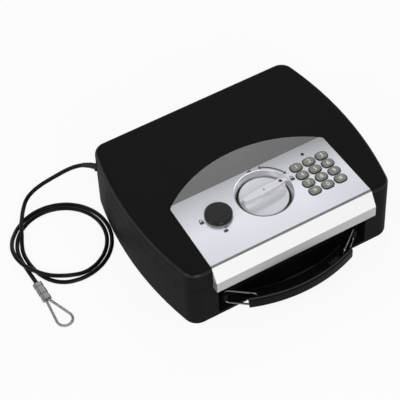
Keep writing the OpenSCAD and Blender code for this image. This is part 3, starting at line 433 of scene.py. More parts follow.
class SafeFasciaSettings(bpy.types.PropertyGroup):
    # The fascia is one silver paint, and these colours are painted light on it: a painted highlight on the
    # sloping edge, and painted shade on the upright band, beside the crease, in the line behind the sloping
    # edge and on the arched part
    silver: colour_setting("Silver", "Colour of the fascia's flat part at the front", (0.62, 0.635, 0.69))
    painted_shade_back: colour_setting("Silver back", "Colour of the flat part beside the crease",
                                (0.31, 0.315, 0.335))
    painted_shade_right: colour_setting("Silver right", "The same at the crease's right end", (0.2, 0.2, 0.21))
    slope: colour_setting("Slope", "Colour of the sloping edge", (0.95, 0.95, 0.95))
    front: colour_setting("Front", "Colour of the upright front band", (0.46, 0.46, 0.47))
    groove_shadow: colour_setting("Groove", "Colour in the line behind the sloping edge", (0.2, 0.2, 0.205))
    arch_shade: colour_setting("Arch", "Colour of the arched back part at its left end", (0.074, 0.074, 0.076))
    arch_right_shade: colour_setting("Arch right", "Colour of the arched part at its right end",
                               (0.058, 0.058, 0.06))
    ink: colour_setting("Ink", "Colour of the printed marks", (0.008, 0.008, 0.009))


class SafeControlSettings(bpy.types.PropertyGroup):
    knob: colour_setting("Knob", "Colour of the knob", (0.66, 0.665, 0.7))
    # The knob's edge colours are painted light: a painted highlight on its front edges and a painted shade
    # line on its back edges
    knob_front_edge_highlight: colour_setting("Knob's front edges", "Colour of the edges before its middle",
                                    (0.92, 0.92, 0.93))
    knob_back_edge_shade: colour_setting("Knob's back edges", "Colour of the edges behind its middle",
                                   (0.14, 0.14, 0.15))
    dish: colour_setting("Dish", "Colour of the dish's wall", (0.86, 0.86, 0.88))
    dish_lip: colour_setting("Dish lip", "Colour of the dish's flat lip", (0.36, 0.36, 0.37))
    # The dish's floor round the knob is painted near black: a painted shadow in the gap round the knob
    dish_floor_shadow: colour_setting("Dish floor", "Colour of the dish's floor round the knob", (0.02, 0.02, 0.021))
    keys: colour_setting("Keys", "Colour of the keys", (0.2, 0.205, 0.18))
    # The keys' sides are painted dark: painted shade
    key_sides_shade: colour_setting("Key sides", "Colour of the keys' sides", (0.035, 0.035, 0.032))
    digits: colour_setting("Digits", "Colour of the digits", (0.86, 0.87, 0.84))
    digit_height: length_setting("Digit height", "Height of a digit", 0.005, 0.003, 0.008)
    cap: colour_setting("Cap", "Colour of the top of the cap over the key lock", (0.021, 0.0195, 0.02))
    cap_rim: colour_setting("Cap rim", "Colour of the cap's polished rim", (0.003, 0.003, 0.0033))
    grip: colour_setting("Grip", "Colour of the carrying grip", (0.0032, 0.0031, 0.0031))
    # The grip's lighter roundings are a painted highlight where they face partly upward
    grip_edge_highlight: colour_setting("Grip edge", "Colour of the grip's polished roundings", (0.055, 0.055, 0.056))


# Cable: the same route as in the part's source, in millimetres
EXIT = (-125.19, 106.62, 55.4)
LEAD = [(-130, 111.5, 55.5), (-135, 116, 54.5), (-143, 122.5, 50.5), (-152, 129, 43.5), (-161, 135, 35),
        (-170.5, 140.5, 26.5), (-180, 145, 18.5), (-190, 146.5, 12), (-200, 142.5, 9), (-209, 133, 8),
        (-217, 121, 8), (-223.5, 109.5, 8), (-228, 99.5, 7)]
COIL_CENTRE = (-193.0, 69.0)
COIL_RADIUS = 50.5
COIL_PITCH = 5.6
COIL_START = 154.0
COIL_TURN = 746.0
COIL_STEPS = 50
COIL_JOIN = 4.8
JOIN_SLOPE = 0.18
CROSSING_RISE = 5.4
LEAD_RISE = 2.6
ON_FLOOR = 2.4

# The fitting at its end: the ferrule's place and tilt, and the eye in the ferrule's own plane
FITTING_X = -243.5
FITTING_Z = 3.4
FERRULE_FRONT = 6.3
FERRULE_TURN = math.radians(8)
FERRULE_TILT = math.radians(2.4)
TAIL_RISE = [(58.3, ON_FLOOR), (49.3, ON_FLOOR), (42.3, 2.9), (36.3, FITTING_Z), (31.3, FITTING_Z)]
EYE_BEND = 8.9
EYE_CENTRE = 32.5
EYE_LEG = 1.55
EYE_LEAN = 13.146
EYE_STEPS = 40
ROPE_CORE = 1.2
STRAND = 0.4
ROPE_SIDES = 36

# The boot at the wall: its radius, what it loses along its length, its ribs and its two ends
BOOT_RADIUS = 3.6
BOOT_TAPER = 1.0
BOOT_RIB = 0.16
BOOT_ENDS = (3.4, 2.5)
BOOT_STEPS = 36
BOOT_SIDES = 32


def ease(t, a, b):
    """0 before a and 1 after b, with a soft start and end."""
    k = min(1.0, max(0.0, (t - a) / (b - a)))
    return k * k * (3.0 - 2.0 * k)


def coil_point(t):
    """A point of the coil, t degrees on from its start."""
    radius = COIL_RADIUS + COIL_PITCH * (-1.0 + 2.0 * ease(t, 28, 100) - ease(t, 365, 425))
    angle = math.radians(COIL_START + t)
    up = CROSSING_RISE * (ease(t, 335, 374) - ease(t, 448, 487)) + LEAD_RISE * (1.0 - ease(t, 0, 25))
    x, y = COIL_CENTRE
    return (x + radius * math.cos(angle), y + radius * math.sin(angle), ON_FLOOR + up)


def cable_route():
    """The middle line of the cable from the wall into the ferrule."""
    first = coil_point(0)
    back = math.radians(COIL_START + 90)
    join = (first[0] - COIL_JOIN * math.cos(back), first[1] - COIL_JOIN * math.sin(back),
            first[2] + COIL_JOIN * JOIN_SLOPE)
    coil = [coil_point(COIL_TURN * i / COIL_STEPS) for i in range(COIL_STEPS + 1)]
    tail = [(FITTING_X, y, z) for y, z in TAIL_RISE]
    return [EXIT] + LEAD + [join] + coil + tail


def swept(path, section):
    """A closed tube along a path; section(i, along) gives its outline as pairs of millimetres."""
    shape = bmesh.new()
    rings = []
    side = None
    along = 0.0
    for i, here in enumerate(path):
        ahead = path[min(i + 1, len(path) - 1)]
        behind = path[max(i - 1, 0)]
        forward = (ahead - behind).normalized()
        if side is None:
            side = forward.orthogonal().normalized()
        side = (side - forward * side.dot(forward)).normalized()
        up = forward.cross(side)
        along += (here - behind).length
        rings.append([shape.verts.new(here + (side * u + up * v) * MM) for u, v in section(i, along)])
    for near, far in zip(rings, rings[1:]):
        bridge(shape, near, far)
    shape.faces.new(rings[0][::-1])
    shape.faces.new(rings[-1])
    return shape


def vinyl(colour):
    """The cable's black sheath."""
    made, tree, shader = shader_of("cable_vinyl")
    dress(tree, shader, colour, 0.3, grain=0.6, depth=0.003, spread=0.05)
    shader.inputs["Specular IOR Level"].default_value = 0.13
    return made


def rope_steel():
    """Bare wire rope, darker between its strands."""
    made, tree, shader = shader_of("rope_steel")
    dress(tree, shader, (0.3, 0.3, 0.31), 0.36, grain=0.5, depth=0.02, edge=0.6,
          edge_colour=(0.5, 0.5, 0.51), edge_width=0.3)
    shader.inputs["Metallic"].default_value = 1.0
    return made


class SAFE_OT_camera(bpy.types.Operator):
    """Makes the camera at the photograph's angle"""
    bl_idname = "safe.camera"
    bl_label = "Camera"

    def execute(self, context):
        stage = context.scene.safe_stage
        lens = bpy.data.cameras.new("camera")
        lens.lens = stage.lens
        lens.sensor_width = 36.0
        lens.clip_start = 0.05
        camera = bpy.data.objects.new("camera", lens)
        context.scene.collection.objects.link(camera)
        e, a = stage.elevation, stage.azimuth
        back = Vector((math.sin(a) * math.cos(e), -math.cos(a) * math.cos(e), math.sin(e)))
        turn = (-back).to_track_quat("-Z", "Y").to_matrix() @ Matrix.Rotation(stage.roll, 3, "Z")
        camera.matrix_world = Matrix.Translation(Vector(stage.aim) + back * stage.distance) @ turn.to_4x4()
        context.scene.camera = camera
        return {"FINISHED"}


class SAFE_OT_cable(bpy.types.Operator):
    """Lays the tether cable along its route, with its boot, ferrule and bare eye"""
    bl_idname = "safe.cable"
    bl_label = "Cable"

    def execute(self, context):
        chosen = context.scene.safe_cable
        route = [spot(*p) for p in cable_route()]
        line = bpy.data.curves.new("tether_cable", "CURVE")
        line.dimensions = "3D"
        line.bevel_depth = chosen.diameter / 2
        line.bevel_resolution = 5
        line.resolution_u = 5
        line.use_fill_caps = True
        spline = line.splines.new("BEZIER")
        spline.bezier_points.add(len(route) - 1)
        for point, where in zip(spline.bezier_points, route):
            point.co = where
            point.handle_left_type = point.handle_right_type = "AUTO"
        line.materials.append(vinyl(chosen.vinyl))
        cable = bpy.data.objects.new("tether_cable", line)
        context.scene.collection.objects.link(cable)
        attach(cable, "base")
        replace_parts(cable, "cable_lead", "cable_coil")
        self.make_boot(chosen, route)
        eye = self.make_eye(chosen)
        give(finish("crimp_aluminium"), "cable_ferrule")
        give(finish("rubber_foot"), "cable_grommet")
        give(finish("bright_steel"), "cable_stop")
        return {"FINISHED"}

    def make_boot(self, chosen, route):
        """Ribbed rubber boot that tapers along the cable from the wall."""
        start, first, second = route[:3]
        one = (first - start).length
        path = []
        for i in range(BOOT_STEPS + 1):
            s = chosen.boot_length * i / BOOT_STEPS
            if s <= one:
                path.append(start.lerp(first, s / one))
            else:
                path.append(first.lerp(second, (s - one) / (second - first).length))

        def section(i, along):
            if i in (0, BOOT_STEPS):
                return circle(BOOT_ENDS[i // BOOT_STEPS], BOOT_SIDES)
            k = i / BOOT_STEPS
            rib = BOOT_RIB * (1.0 if (i // 3) % 2 else -1.0) * (1.0 - k)
            return circle(BOOT_RADIUS - BOOT_TAPER * k + rib, BOOT_SIDES)
        boot = mesh_of(swept(path, section), "cable_boot")
        piece("cable_boot", boot, "base", finish("rubber_foot"))

    def make_eye(self, chosen):
        """Twisted bare rope in a teardrop, from the ferrule and back into it."""
        lean = math.radians(EYE_LEAN)
        leg = [(EYE_LEG + d * math.sin(lean), -d * math.cos(lean)) for d in range(-3, 31, 2)]
        turn = 180.0 + 2.0 * EYE_LEAN
        bend = [(EYE_BEND * math.cos(a), EYE_BEND * math.sin(a) - EYE_CENTRE)
                for a in (math.radians(EYE_LEAN - turn * i / EYE_STEPS) for i in range(EYE_STEPS + 1))]
        flat = leg + bend + [(-x, y) for x, y in reversed(leg)]
        place = (Matrix.Translation(spot(FITTING_X, FERRULE_FRONT, FITTING_Z))
                 @ Matrix.Rotation(FERRULE_TURN, 4, "Z") @ Matrix.Rotation(FERRULE_TILT, 4, "X"))
        points = [place @ (Vector((x, y, 0)) * MM) for x, y in flat]
        path = []
        for near, far in zip(points, points[1:]):
            path += [near.lerp(far, k / 3) for k in range(3)]
        path.append(points[-1])
        pitch = chosen.strand_pitch

        def section(i, along):
            twist = 2 * math.pi * along / pitch
            outline = []
            for k in range(ROPE_SIDES):
                a = 2 * math.pi * k / ROPE_SIDES
                reach = ROPE_CORE + STRAND * abs(math.cos(3 * (a - twist)))
                outline.append((reach * math.cos(a), reach * math.sin(a)))
            return outline
        rope = mesh_of(swept(path, section), "eye_rope")
        eye = piece("eye_rope", rope, "base", rope_steel())
        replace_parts(eye, "cable_eye")
        return eye


# Name, place in metres, size and power of each lamp, the point they face, and the floor
LAMPS = [("front_lamp", (-0.35, -1.9, 1.25), 1.1, 16.0),
         ("left_lamp", (-1.8, -0.2, 1.3), 0.9, 7.0),
         ("back_lamp", (0.7, 1.5, 1.5), 0.8, 7.0)]
LIT_POINT = (0, 0, 0.04)
FLOOR_HALF = 5.0
FLOOR_WHITE = 0.9


class SAFE_OT_stage(bpy.types.Operator):
    """Makes the floor, the surroundings and the lamps"""
    bl_idname = "safe.stage"
    bl_label = "Stage"

    def execute(self, context):
        stage = context.scene.safe_stage
        shape = bmesh.new()
        bmesh.ops.create_grid(shape, x_segments=4, y_segments=4, size=FLOOR_HALF)
        floor = bpy.data.objects.new("floor", mesh_of(shape, "floor"))
        context.scene.collection.objects.link(floor)
        made, tree, shader = shader_of("floor_paint")
        shader.inputs["Base Color"].default_value = (*stage.floor_colour, 1.0)
        shader.inputs["Roughness"].default_value = 0.9
        shader.inputs["Specular IOR Level"].default_value = 0.0
        white = tree.nodes.new("ShaderNodeEmission")
        blend = tree.nodes.new("ShaderNodeMixShader")
        seen = maths(tree, "MULTIPLY", self.seen_directly(tree), FLOOR_WHITE)
        tree.links.new(seen, blend.inputs[0])
        tree.links.new(shader.outputs[0], blend.inputs[1])
        tree.links.new(white.outputs[0], blend.inputs[2])
        tree.links.new(blend.outputs[0], tree.nodes["Material Output"].inputs["Surface"])
        floor.data.materials.append(made)

        world = bpy.data.worlds.new("surroundings")
        world.use_nodes = True
        context.scene.world = world
        tree = world.node_tree
        back = tree.nodes["Background"]
        back.inputs["Color"].default_value = (1.0, 1.0, 1.0, 1.0)
        seen = self.seen_directly(tree)
        height = axes(tree, "Generated")["Z"]
        overhead = maths(tree, "MULTIPLY", maths(tree, "SUBTRACT", height, 0.35), 2.2, clamp=True)
        shown = maths(tree, "SUBTRACT", 1.0, maths(tree, "MULTIPLY", overhead, 1.0 - stage.ceiling))
        extra = maths(tree, "MULTIPLY", seen, maths(tree, "SUBTRACT", shown, stage.surroundings))
        tree.links.new(maths(tree, "ADD", extra, stage.surroundings), back.inputs["Strength"])
        for lamp in LAMPS:
            self.lamp(context, *lamp)
        context.scene.view_settings.view_transform = "Standard"
        return {"FINISHED"}

    def seen_directly(self, tree):
        """1 for what the camera, a reflection or a clear piece shows, 0 for the light itself."""
        path = tree.nodes.new("ShaderNodeLightPath")
        both = maths(tree, "MAXIMUM", path.outputs["Is Camera Ray"], path.outputs["Is Transmission Ray"])
        return maths(tree, "MAXIMUM", both, path.outputs["Is Glossy Ray"])

    def lamp(self, context, name, where, size, power):
        """A square lamp that faces the safe."""
        light = bpy.data.lights.new(name, "AREA")
        light.shape = "SQUARE"
        light.size = size
        light.energy = power
        lamp = bpy.data.objects.new(name, light)
        context.scene.collection.objects.link(lamp)
        lamp.location = where
        lamp.rotation_euler = (Vector(LIT_POINT) - Vector(where)).to_track_quat("-Z", "Y").to_euler()


class SAFE_OT_shells(bpy.types.Operator):
    """Finishes the base, the lid and the feet, and lays the mat on the floor"""
    bl_idname = "safe.shells"
    bl_label = "Base, lid and mat"

    def execute(self, context):
        chosen = context.scene.safe_shell
        enamel, tree, shader = shader_of("black_enamel")
        dress(tree, shader, chosen.enamel, 0.57, grain=chosen.grain, depth=0.03, spread=0.07, cloud=0.15,
              edge=0.35, edge_colour=(0.03, 0.03, 0.031), edge_width=0.6)
        shader.inputs["Specular IOR Level"].default_value = 0.03
        shoulder = near_level(tree, axes(tree, "Normal")["Z"], *SHOULDER_UP)
        tree.links.new(maths(tree, "MULTIPLY", shoulder, 0.6), shader.inputs["Coat Weight"])
        shader.inputs["Coat Roughness"].default_value = 0.22
        give(enamel, "body_shell", "lid_shell", "handle_brackets")
        give(finish("rubber_foot"), "feet")
        self.make_mat(chosen)
        return {"FINISHED"}

    def make_mat(self, chosen):
        """A rubber mat with a rounded rim, in the outline of the CAD mat."""
        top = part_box("floor_mat")[1].z
        shape = bmesh.new()
        shape.from_mesh(NODES["floor_mat"].data)
        bmesh.ops.remove_doubles(shape, verts=shape.verts, dist=1e-6)
        edges = [e for e in shape.edges if len(e.link_faces) == 2
                 and all(v.co.z > top - 1e-5 for v in e.verts) and e.calc_face_angle(0) > 1.0]
        bmesh.ops.bevel(shape, geom=edges, offset=0.0007, segments=3, affect="EDGES", profile=0.6)
        mat, tree, shader = shader_of("mat_rubber")
        dress(tree, shader, chosen.mat_colour, 0.8, grain=0.9, depth=0.12, spread=0.08, cloud=0.25)
        sheet = piece("floor_mat_sheet", mesh_of(shape, "floor_mat_sheet"), "base", mat)
        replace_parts(sheet, "floor_mat")


class SAFE_OT_hinges(bpy.types.Operator):
    """Finishes the hinges, the strike and all screws"""
    bl_idname = "safe.hinges"
    bl_label = "Hinges, strike and screws"

    def execute(self, context):
        give(finish("zinc_plate"), "hinge_base_leaves", "hinge_lid_leaves", "strike_plate",
             "key_lock_housing", "key_lock_nut", "lock_chassis", "knob_cam", "key_cam")
        give(finish("bright_steel"), "hinge_pins", "knob_clip", "latch_bar", "battery_contacts",
             "solenoid_plunger")
        give(finish("link_wire"), "left_wire_link", "right_wire_link")
        give(finish("screw_zinc"), "hinge_base_screws", "hinge_lid_screws", "strike_screws", "bracket_screws",
             "chassis_screws")
        give(finish("black_oxide"), "liner_screws")
        return {"FINISHED"}


class SAFE_OT_inside(bpy.types.Operator):
    """Finishes the pieces inside the lid"""
    bl_idname = "safe.inside"
    bl_label = "Inside of the lid"

    def execute(self, context):
        give(finish("liner_plastic"), "lid_liner", "battery_tray", "battery_door", "latch_guides")
        give(finish("board_green"), "circuit_board")
        give(finish("battery_sleeve"), "batteries")
        give(finish("coil_varnish"), "solenoid_body")
        give(finish("lock_brass"), "key_plug")
        give(finish("rubber_foot"), "keypad_mat")
        lens = finish("lens_dark")
        lens.node_tree.nodes["Principled BSDF"].inputs["Specular IOR Level"].default_value = 0.06
        give(lens, "status_light")
        return {"FINISHED"}


def plate(outlines, height, thickness):
    """Thin flat shapes from outlines in millimetres, standing on a height."""
    shape = bmesh.new()
    for outline in outlines:
        face = shape.faces.new([shape.verts.new(spot(x, y, height)) for x, y in outline])
        grown = bmesh.ops.extrude_face_region(shape, geom=[face])
        for vert in (v for v in grown["geom"] if isinstance(v, bmesh.types.BMVert)):
            vert.co.z += thickness * MM
    return shape


def band(cx, cy, inner, outer, first, last, steps=24):
    """The outline of a curved band about a centre, its angles in degrees."""
    turns = [math.radians(first + (last - first) * i / steps) for i in range(steps + 1)]
    return ([(cx + outer * math.cos(a), cy + outer * math.sin(a)) for a in turns]
            + [(cx + inner * math.cos(a), cy + inner * math.sin(a)) for a in reversed(turns)])


def padlock(cx, cy, size, locked, squat):
    """Outlines of a small padlock sign, squat below 1."""
    w, h = size * 0.5, size * 0.34
    body = [(cx - w, cy - h * 1.6), (cx + w, cy - h * 1.6), (cx + w, cy + h * 0.5), (cx - w, cy + h * 0.5)]
    lean = 0.0 if locked else w * 1.15
    foot = cy + h * 0.4
    outer, inner = w * 0.78, w * 0.4
    legs = [[(cx + lean + s * outer, foot), (cx + lean + s * inner, foot), (cx + lean + s * inner, foot + h),
             (cx + lean + s * outer, foot + h)] for s in ((-1, 1) if locked else (-1,))]
    rings = [body, band(cx + lean, foot + h, inner, outer, 0, 180, 14)] + legs
    return [[(x, cy + (y - cy) * squat) for x, y in ring] for ring in rings]


# Name, place, size, locked or open, and squatness of each padlock sign
PADLOCKS = [("sign_open", 2.0, -15.3, 4.4, False, 0.68), ("sign_shut", 36.9, -49.3, 4.9, True, 1.0),
            ("cap_sign_shut", -78.0, -50.5, 4.9, True, 1.0), ("cap_sign_open", -61.5, -73.0, 4.9, False, 1.0)]
ARROW_BAND = (35.7, 37.4, 64, 22)
ARROW_RADIUS = 36.5
ARROW_HEAD = (33.7, 39.3)
ARROW_TIPS = ((69.5, 1), (16.5, -1))
INK_SINK = 0.3
INK_THICKNESS = 0.36


class SAFE_OT_fascia(bpy.types.Operator):
    """Finishes the fascia and prints its plain signs"""
    bl_idname = "safe.fascia"
    bl_label = "Fascia and signs"

    def execute(self, context):
        chosen = context.scene.safe_fascia
        silver, tree, shader = shader_of("silver_paint_and_painted_light")
        # Painted light by place: painted shade towards the crease and to the right end, on the arched part
        # and in the line behind the sloping edge; a painted highlight on the sloping edge; painted shade on
        # the upright band
        place = axes(tree, "Object")
        crease, ridge, line = ((y + MIDDLE_Y) * MM for y in (CREASE_Y, RIDGE_Y, GROOVE_Y))
        across = maths(tree, "ADD", maths(tree, "MULTIPLY", place["X"], ACROSS_RATE), 0.5, clamp=True)
        arch_shade = mixed(tree, across, chosen.arch_shade, chosen.arch_right_shade)
        before = maths(tree, "SUBTRACT", crease, place["Y"])
        forward = maths(tree, "MULTIPLY", before, FORWARD_RATE, clamp=True)
        back = mixed(tree, across, chosen.painted_shade_back, chosen.painted_shade_right)
        flat = mixed(tree, forward, back, chosen.silver)
        top = mixed(tree, above(tree, place["Y"], crease), flat, arch_shade)
        low = mixed(tree, above(tree, place["Z"], SLOPE_FOOT * MM), chosen.front, chosen.slope)
        shade = mixed(tree, above(tree, place["Y"], ridge), low, top)
        apart = maths(tree, "ABSOLUTE", maths(tree, "SUBTRACT", place["Y"], line))
        shade = mixed(tree, above(tree, apart, GROOVE_HALF * MM), chosen.groove_shadow, shade)
        # The fascia's edges are painted near white: a painted highlight along them
        dress(tree, shader, shade, 0.3, grain=0.35, depth=0.006, spread=0.04, edge=0.7,
              edge_colour=(0.85, 0.85, 0.86), edge_width=0.4)
        shader.inputs["Metallic"].default_value = 0.5
        give(silver, "fascia")
        ink, tree, shader = shader_of("sign_ink")
        dress(tree, shader, chosen.ink, 0.45, grain=0.2, depth=0.004)
        for name, *form in PADLOCKS:
            self.print_sign(name, padlock(*form), ink)
        arrow = [band(*KNOB_CENTRE, *ARROW_BAND)]
        for angle, way in ARROW_TIPS:
            tip = math.radians(angle)
            foot = math.radians(angle - way * 5.0)
            arrow.append([(KNOB_CENTRE[0] + r * math.cos(a), KNOB_CENTRE[1] + r * math.sin(a))
                          for r, a in ((ARROW_RADIUS, tip), (ARROW_HEAD[0], foot), (ARROW_HEAD[1], foot))])
        self.print_sign("turn_arrow", arrow, ink)
        return {"FINISHED"}

    def print_sign(self, name, outlines, ink):
        """A thin print that stands a little over the fascia."""
        shape = plate(outlines, FASCIA_TOP - INK_SINK, INK_THICKNESS)
        piece(name, mesh_of(shape, name), "lid", ink, smooth=False)


# Name, distance from the knob's middle and radius of each dot on its bar, and the section of a dot
DOTS = [("knob_pointer", 21.5, 2.1), ("knob_middle", 0.0, 0.9)]
DOT_SECTION = [(1.0, -0.3), (1.0, 0.04), (0.8, 0.12), (0.4, 0.16)]
DOT_SIDES = 24


class SAFE_OT_knob(bpy.types.Operator):
    """Finishes the dish and the knob, with its pointer dot"""
    bl_idname = "safe.knob"
    bl_label = "Knob and dish"

    def execute(self, context):
        chosen = context.scene.safe_controls
        chrome, tree, shader = shader_of("dish_chrome")
        # Painted shadow: the dish's floor round the knob is made near black
        wall = outside_of(tree, KNOB_CENTRE, DISH_FLOOR_RADIUS)
        shade = mixed(tree, wall, chosen.dish_floor_shadow, chosen.dish)
        lip = outside_of(tree, KNOB_CENTRE, DISH_LIP_RADIUS)
        shade = mixed(tree, lip, shade, chosen.dish_lip)
        dress(tree, shader, shade, 0.18, grain=0.6, depth=0.003, spread=0.03)
        shader.inputs["Metallic"].default_value = 1.0
        give(chrome, "knob_dish")
        silver, tree, shader = shader_of("knob_silver")
        # The knob's edges are painted: a painted highlight before its middle and a painted shade line behind
        # it
        behind = above(tree, axes(tree, "Object")["Y"], spot(*KNOB_CENTRE, 0).y)
        line = mixed(tree, behind, chosen.knob_front_edge_highlight, chosen.knob_back_edge_shade)
        dress(tree, shader, chosen.knob, 0.3, grain=0.3, depth=0.005, spread=0.04, edge=2.5,
              edge_colour=line, edge_width=1.0)
        shader.inputs["Metallic"].default_value = 0.12
        give(silver, "knob")
        ink = bpy.data.materials["sign_ink"]
        turn = math.radians(KNOB_REST)
        for name, reach, radius in DOTS:
            x = KNOB_CENTRE[0] + reach * math.cos(turn)
            y = KNOB_CENTRE[1] + reach * math.sin(turn)
            shape = bmesh.new()
            loops = [[shape.verts.new(spot(u, v, KNOB_TOP + up))
                      for u, v in circle(radius * part, DOT_SIDES, x, y)] for part, up in DOT_SECTION]
            for near, far in zip(loops, loops[1:]):
                bridge(shape, near, far)
            shape.faces.new(loops[0][::-1])
            shape.faces.new(loops[-1])
            piece(name, mesh_of(shape, name), "knob", ink)
        return {"FINISHED"}


KEYS = ["1", "2", "3", "4", "5", "6", "7", "8", "9", "star", "0", "hash"]
SIGNS = {"star": "*", "hash": "#"}
# How far the dark rim round a key, a painted shadow, stands out from the key and over the fascia
SHADOW_RIM = [(0.38, -0.3), (0.38, 0.22), (0.75, 0.3), (1.1, 0.18), (1.15, -0.3)]
# A sign's size in the font against the height it is set to; the star is the smaller letter
FONT_SCALE = 1.45
STAR_SCALE = 2.2


def key_outline(grow):
    """Rounded outline of a key, grown by some millimetres."""
    w, d, r = KEY_HALF_WIDTH + grow, KEY_HALF_DEPTH + grow, KEY_CORNER + grow
    found = []
    for cx, cy, first in ((w - r, r - d, -90), (w - r, d - r, 0), (r - w, d - r, 90), (r - w, r - d, 180)):
        found += [(cx + r * math.cos(a), cy + r * math.sin(a))
                  for a in (math.radians(first + 15 * k) for k in range(7))]
    return found


class SAFE_OT_keys(bpy.types.Operator):
    """Finishes the keys and sets a digit on each"""
    bl_idname = "safe.keys"
    bl_label = "Keys and digits"

    def execute(self, context):
        chosen = context.scene.safe_controls
        rubber, tree, shader = shader_of("key_rubber")
        # Painted shade: the keys' sides, where they turn away from upward, are made dark
        upward = axes(tree, "Normal")["Z"]
        turned = maths(tree, "SUBTRACT", KEY_SIDE_UP, upward)
        side = maths(tree, "MULTIPLY", turned, KEY_SIDE_FADE, clamp=True)
        shade = mixed(tree, side, chosen.keys, chosen.key_sides_shade)
        dress(tree, shader, shade, 0.42, grain=0.4, depth=0.015)
        shader.inputs["Coat Weight"].default_value = 0.15
        give(rubber, *["key_" + k for k in KEYS])
        pale, tree, shader = shader_of("digit_ink")
        dress(tree, shader, chosen.digits, 0.5, grain=0.3, depth=0.004)
        # Dark rims round the keys: a painted shadow
        shadow_rims = bmesh.new()
        for i, key in enumerate(KEYS):
            x = KEY_FIRST[0] + KEY_STEP[0] * (i % 3)
            y = KEY_FIRST[1] + KEY_STEP[1] * (i // 3)
            self.add_shadow_rim(shadow_rims, x, y)
            self.set_digit(context, key, spot(x, y, KEY_TOP - 0.02), chosen.digit_height, pale)
        piece("key_shadow_rims", mesh_of(shadow_rims, "key_shadow_rims"), "lid", finish("rubber_foot"))
        return {"FINISHED"}

    def add_shadow_rim(self, shape, x, y):
        """A low dark rim on the fascia round one key: a painted shadow."""
        loops = [[shape.verts.new(spot(x + u, y + v, FASCIA_TOP + up)) for u, v in key_outline(grow)]
                 for grow, up in SHADOW_RIM]
        for near, far in zip(loops, loops[1:] + loops[:1]):
            bridge(shape, near, far)

    def set_digit(self, context, key, where, height, ink):
        """A raised digit or sign in the middle of a key."""
        text = bpy.data.curves.new("digit_text", "FONT")
        text.body = SIGNS.get(key, key)
        text.size = height * (STAR_SCALE if key == "star" else FONT_SCALE)
        text.extrude = 0.00006
        text.offset = 0.00002
        holder = bpy.data.objects.new("digit_holder", text)
        context.scene.collection.objects.link(holder)
        context.view_layer.update()
        mesh = bpy.data.meshes.new_from_object(holder.evaluated_get(context.evaluated_depsgraph_get()))
        spans = [[v.co[k] for v in mesh.vertices] for k in range(2)]
        middle = Vector([(min(span) + max(span)) / 2 for span in spans] + [0.0])
        mesh.transform(Matrix.Translation(where - middle))
        bpy.data.objects.remove(holder)
        mesh.name = "digit_" + key
        piece("digit_" + key, mesh, "key_" + key, ink, smooth=False)


class SAFE_OT_cap(bpy.types.Operator):
    """Finishes the cap over the key lock"""
    bl_idname = "safe.cap"
    bl_label = "Lock cap"

    def execute(self, context):
        chosen = context.scene.safe_controls
        made, tree, shader = shader_of("cap_plastic")
        rim = outside_of(tree, CAP_CENTRE, CAP_RADIUS - CAP_SHOULDER - 0.1)
        shade = mixed(tree, rim, chosen.cap, chosen.cap_rim)
        dress(tree, shader, shade, 0.5, grain=0.4, depth=0.012, spread=0.06)
        tree.links.new(maths(tree, "MULTIPLY", rim, 0.45), shader.inputs["Coat Weight"])
        shader.inputs["Coat Roughness"].default_value = 0.1
        shader.inputs["Specular IOR Level"].default_value = 0.15
        give(made, "lock_cap")
        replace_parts(self.turned(made), "lock_cap")
        return {"FINISHED"}

    def turned(self, made):
        """The cap as turned from its section: a flat top, a round shoulder and a seat underneath."""
        radius, top, shoulder = CAP_RADIUS, CAP_TOP, CAP_SHOULDER
        inside, foot, seat = radius - CAP_WALL, FASCIA_TOP + CAP_GAP, FASCIA_TOP + CAP_SEAT
        section = [(0.0, top), (radius - shoulder - 0.5, top), (radius - shoulder, top - 0.02)]
        section += [(radius - shoulder * (1 - math.sin(a)), top - shoulder * (1 - math.cos(a)))
                    for a in (math.pi * k / 20 for k in range(1, 11))]
        section += [(radius, FASCIA_TOP + 0.35), (radius - 0.2, foot), (inside, foot), (inside, seat),
                    (0.0, seat)]
        shape = bmesh.new()
        rings = [[shape.verts.new(spot(x, y, height))
                  for x, y in circle(reach, CAP_SIDES if reach else 1, *CAP_CENTRE)]
                 for reach, height in section]
        for near, far in zip(rings, rings[1:]):
            bridge(shape, near, far)
        return piece("cap_turned", mesh_of(shape, "cap_turned"), "lock_cap", made)


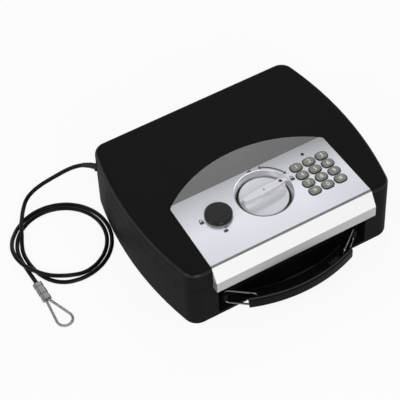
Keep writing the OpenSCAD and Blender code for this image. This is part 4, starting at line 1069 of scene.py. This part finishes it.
class SAFE_OT_grip(bpy.types.Operator):
    """Finishes the carrying grip"""
    bl_idname = "safe.grip"
    bl_label = "Grip"

    def execute(self, context):
        chosen = context.scene.safe_controls
        made, tree, shader = shader_of("grip_plastic")
        # Painted highlight: the grip's roundings that face partly upward are made lighter
        highlight_band = near_level(tree, axes(tree, "Normal")["Z"], *GRIP_HIGHLIGHT_UP)
        shade = mixed(tree, highlight_band, chosen.grip, chosen.grip_edge_highlight)
        dress(tree, shader, shade, 0.36, grain=0.5, depth=0.02, spread=0.08)
        shader.inputs["Specular IOR Level"].default_value = 0.04
        give(made, "handle_grip")
        return {"FINISHED"}


STEPS = ["camera", "cable", "stage", "shells", "fascia", "knob", "keys", "cap", "grip", "hinges", "inside"]


class SAFE_PT_panel(bpy.types.Panel):
    """Lists the steps that dress the safe"""
    bl_idname = "SAFE_PT_panel"
    bl_label = "Electronic safe"
    bl_space_type = "VIEW_3D"
    bl_region_type = "UI"
    bl_category = "Safe"

    def draw(self, context):
        for step in STEPS:
            self.layout.operator("safe." + step)
        for label, kind in SETTINGS.items():
            box = self.layout.box()
            for name in kind.__annotations__:
                box.prop(getattr(context.scene, label), name)


SETTINGS = {"safe_stage": SafeStageSettings, "safe_cable": SafeCableSettings, "safe_shell": SafeShellSettings,
            "safe_fascia": SafeFasciaSettings, "safe_controls": SafeControlSettings}
CLASSES = [*SETTINGS.values(), SAFE_OT_camera, SAFE_OT_cable, SAFE_OT_stage, SAFE_OT_shells,
           SAFE_OT_fascia, SAFE_OT_knob, SAFE_OT_keys, SAFE_OT_cap, SAFE_OT_grip, SAFE_OT_hinges,
           SAFE_OT_inside, SAFE_PT_panel]


def register():
    for each in CLASSES:
        bpy.utils.register_class(each)
    for name, group in SETTINGS.items():
        setattr(bpy.types.Scene, name, PointerProperty(type=group))


def unregister():
    for name in SETTINGS:
        delattr(bpy.types.Scene, name)
    for each in reversed(CLASSES):
        bpy.utils.unregister_class(each)


def main():
    register()
    for step in STEPS:
        getattr(bpy.ops.safe, step)()


if __name__ == "__main__":
    main()
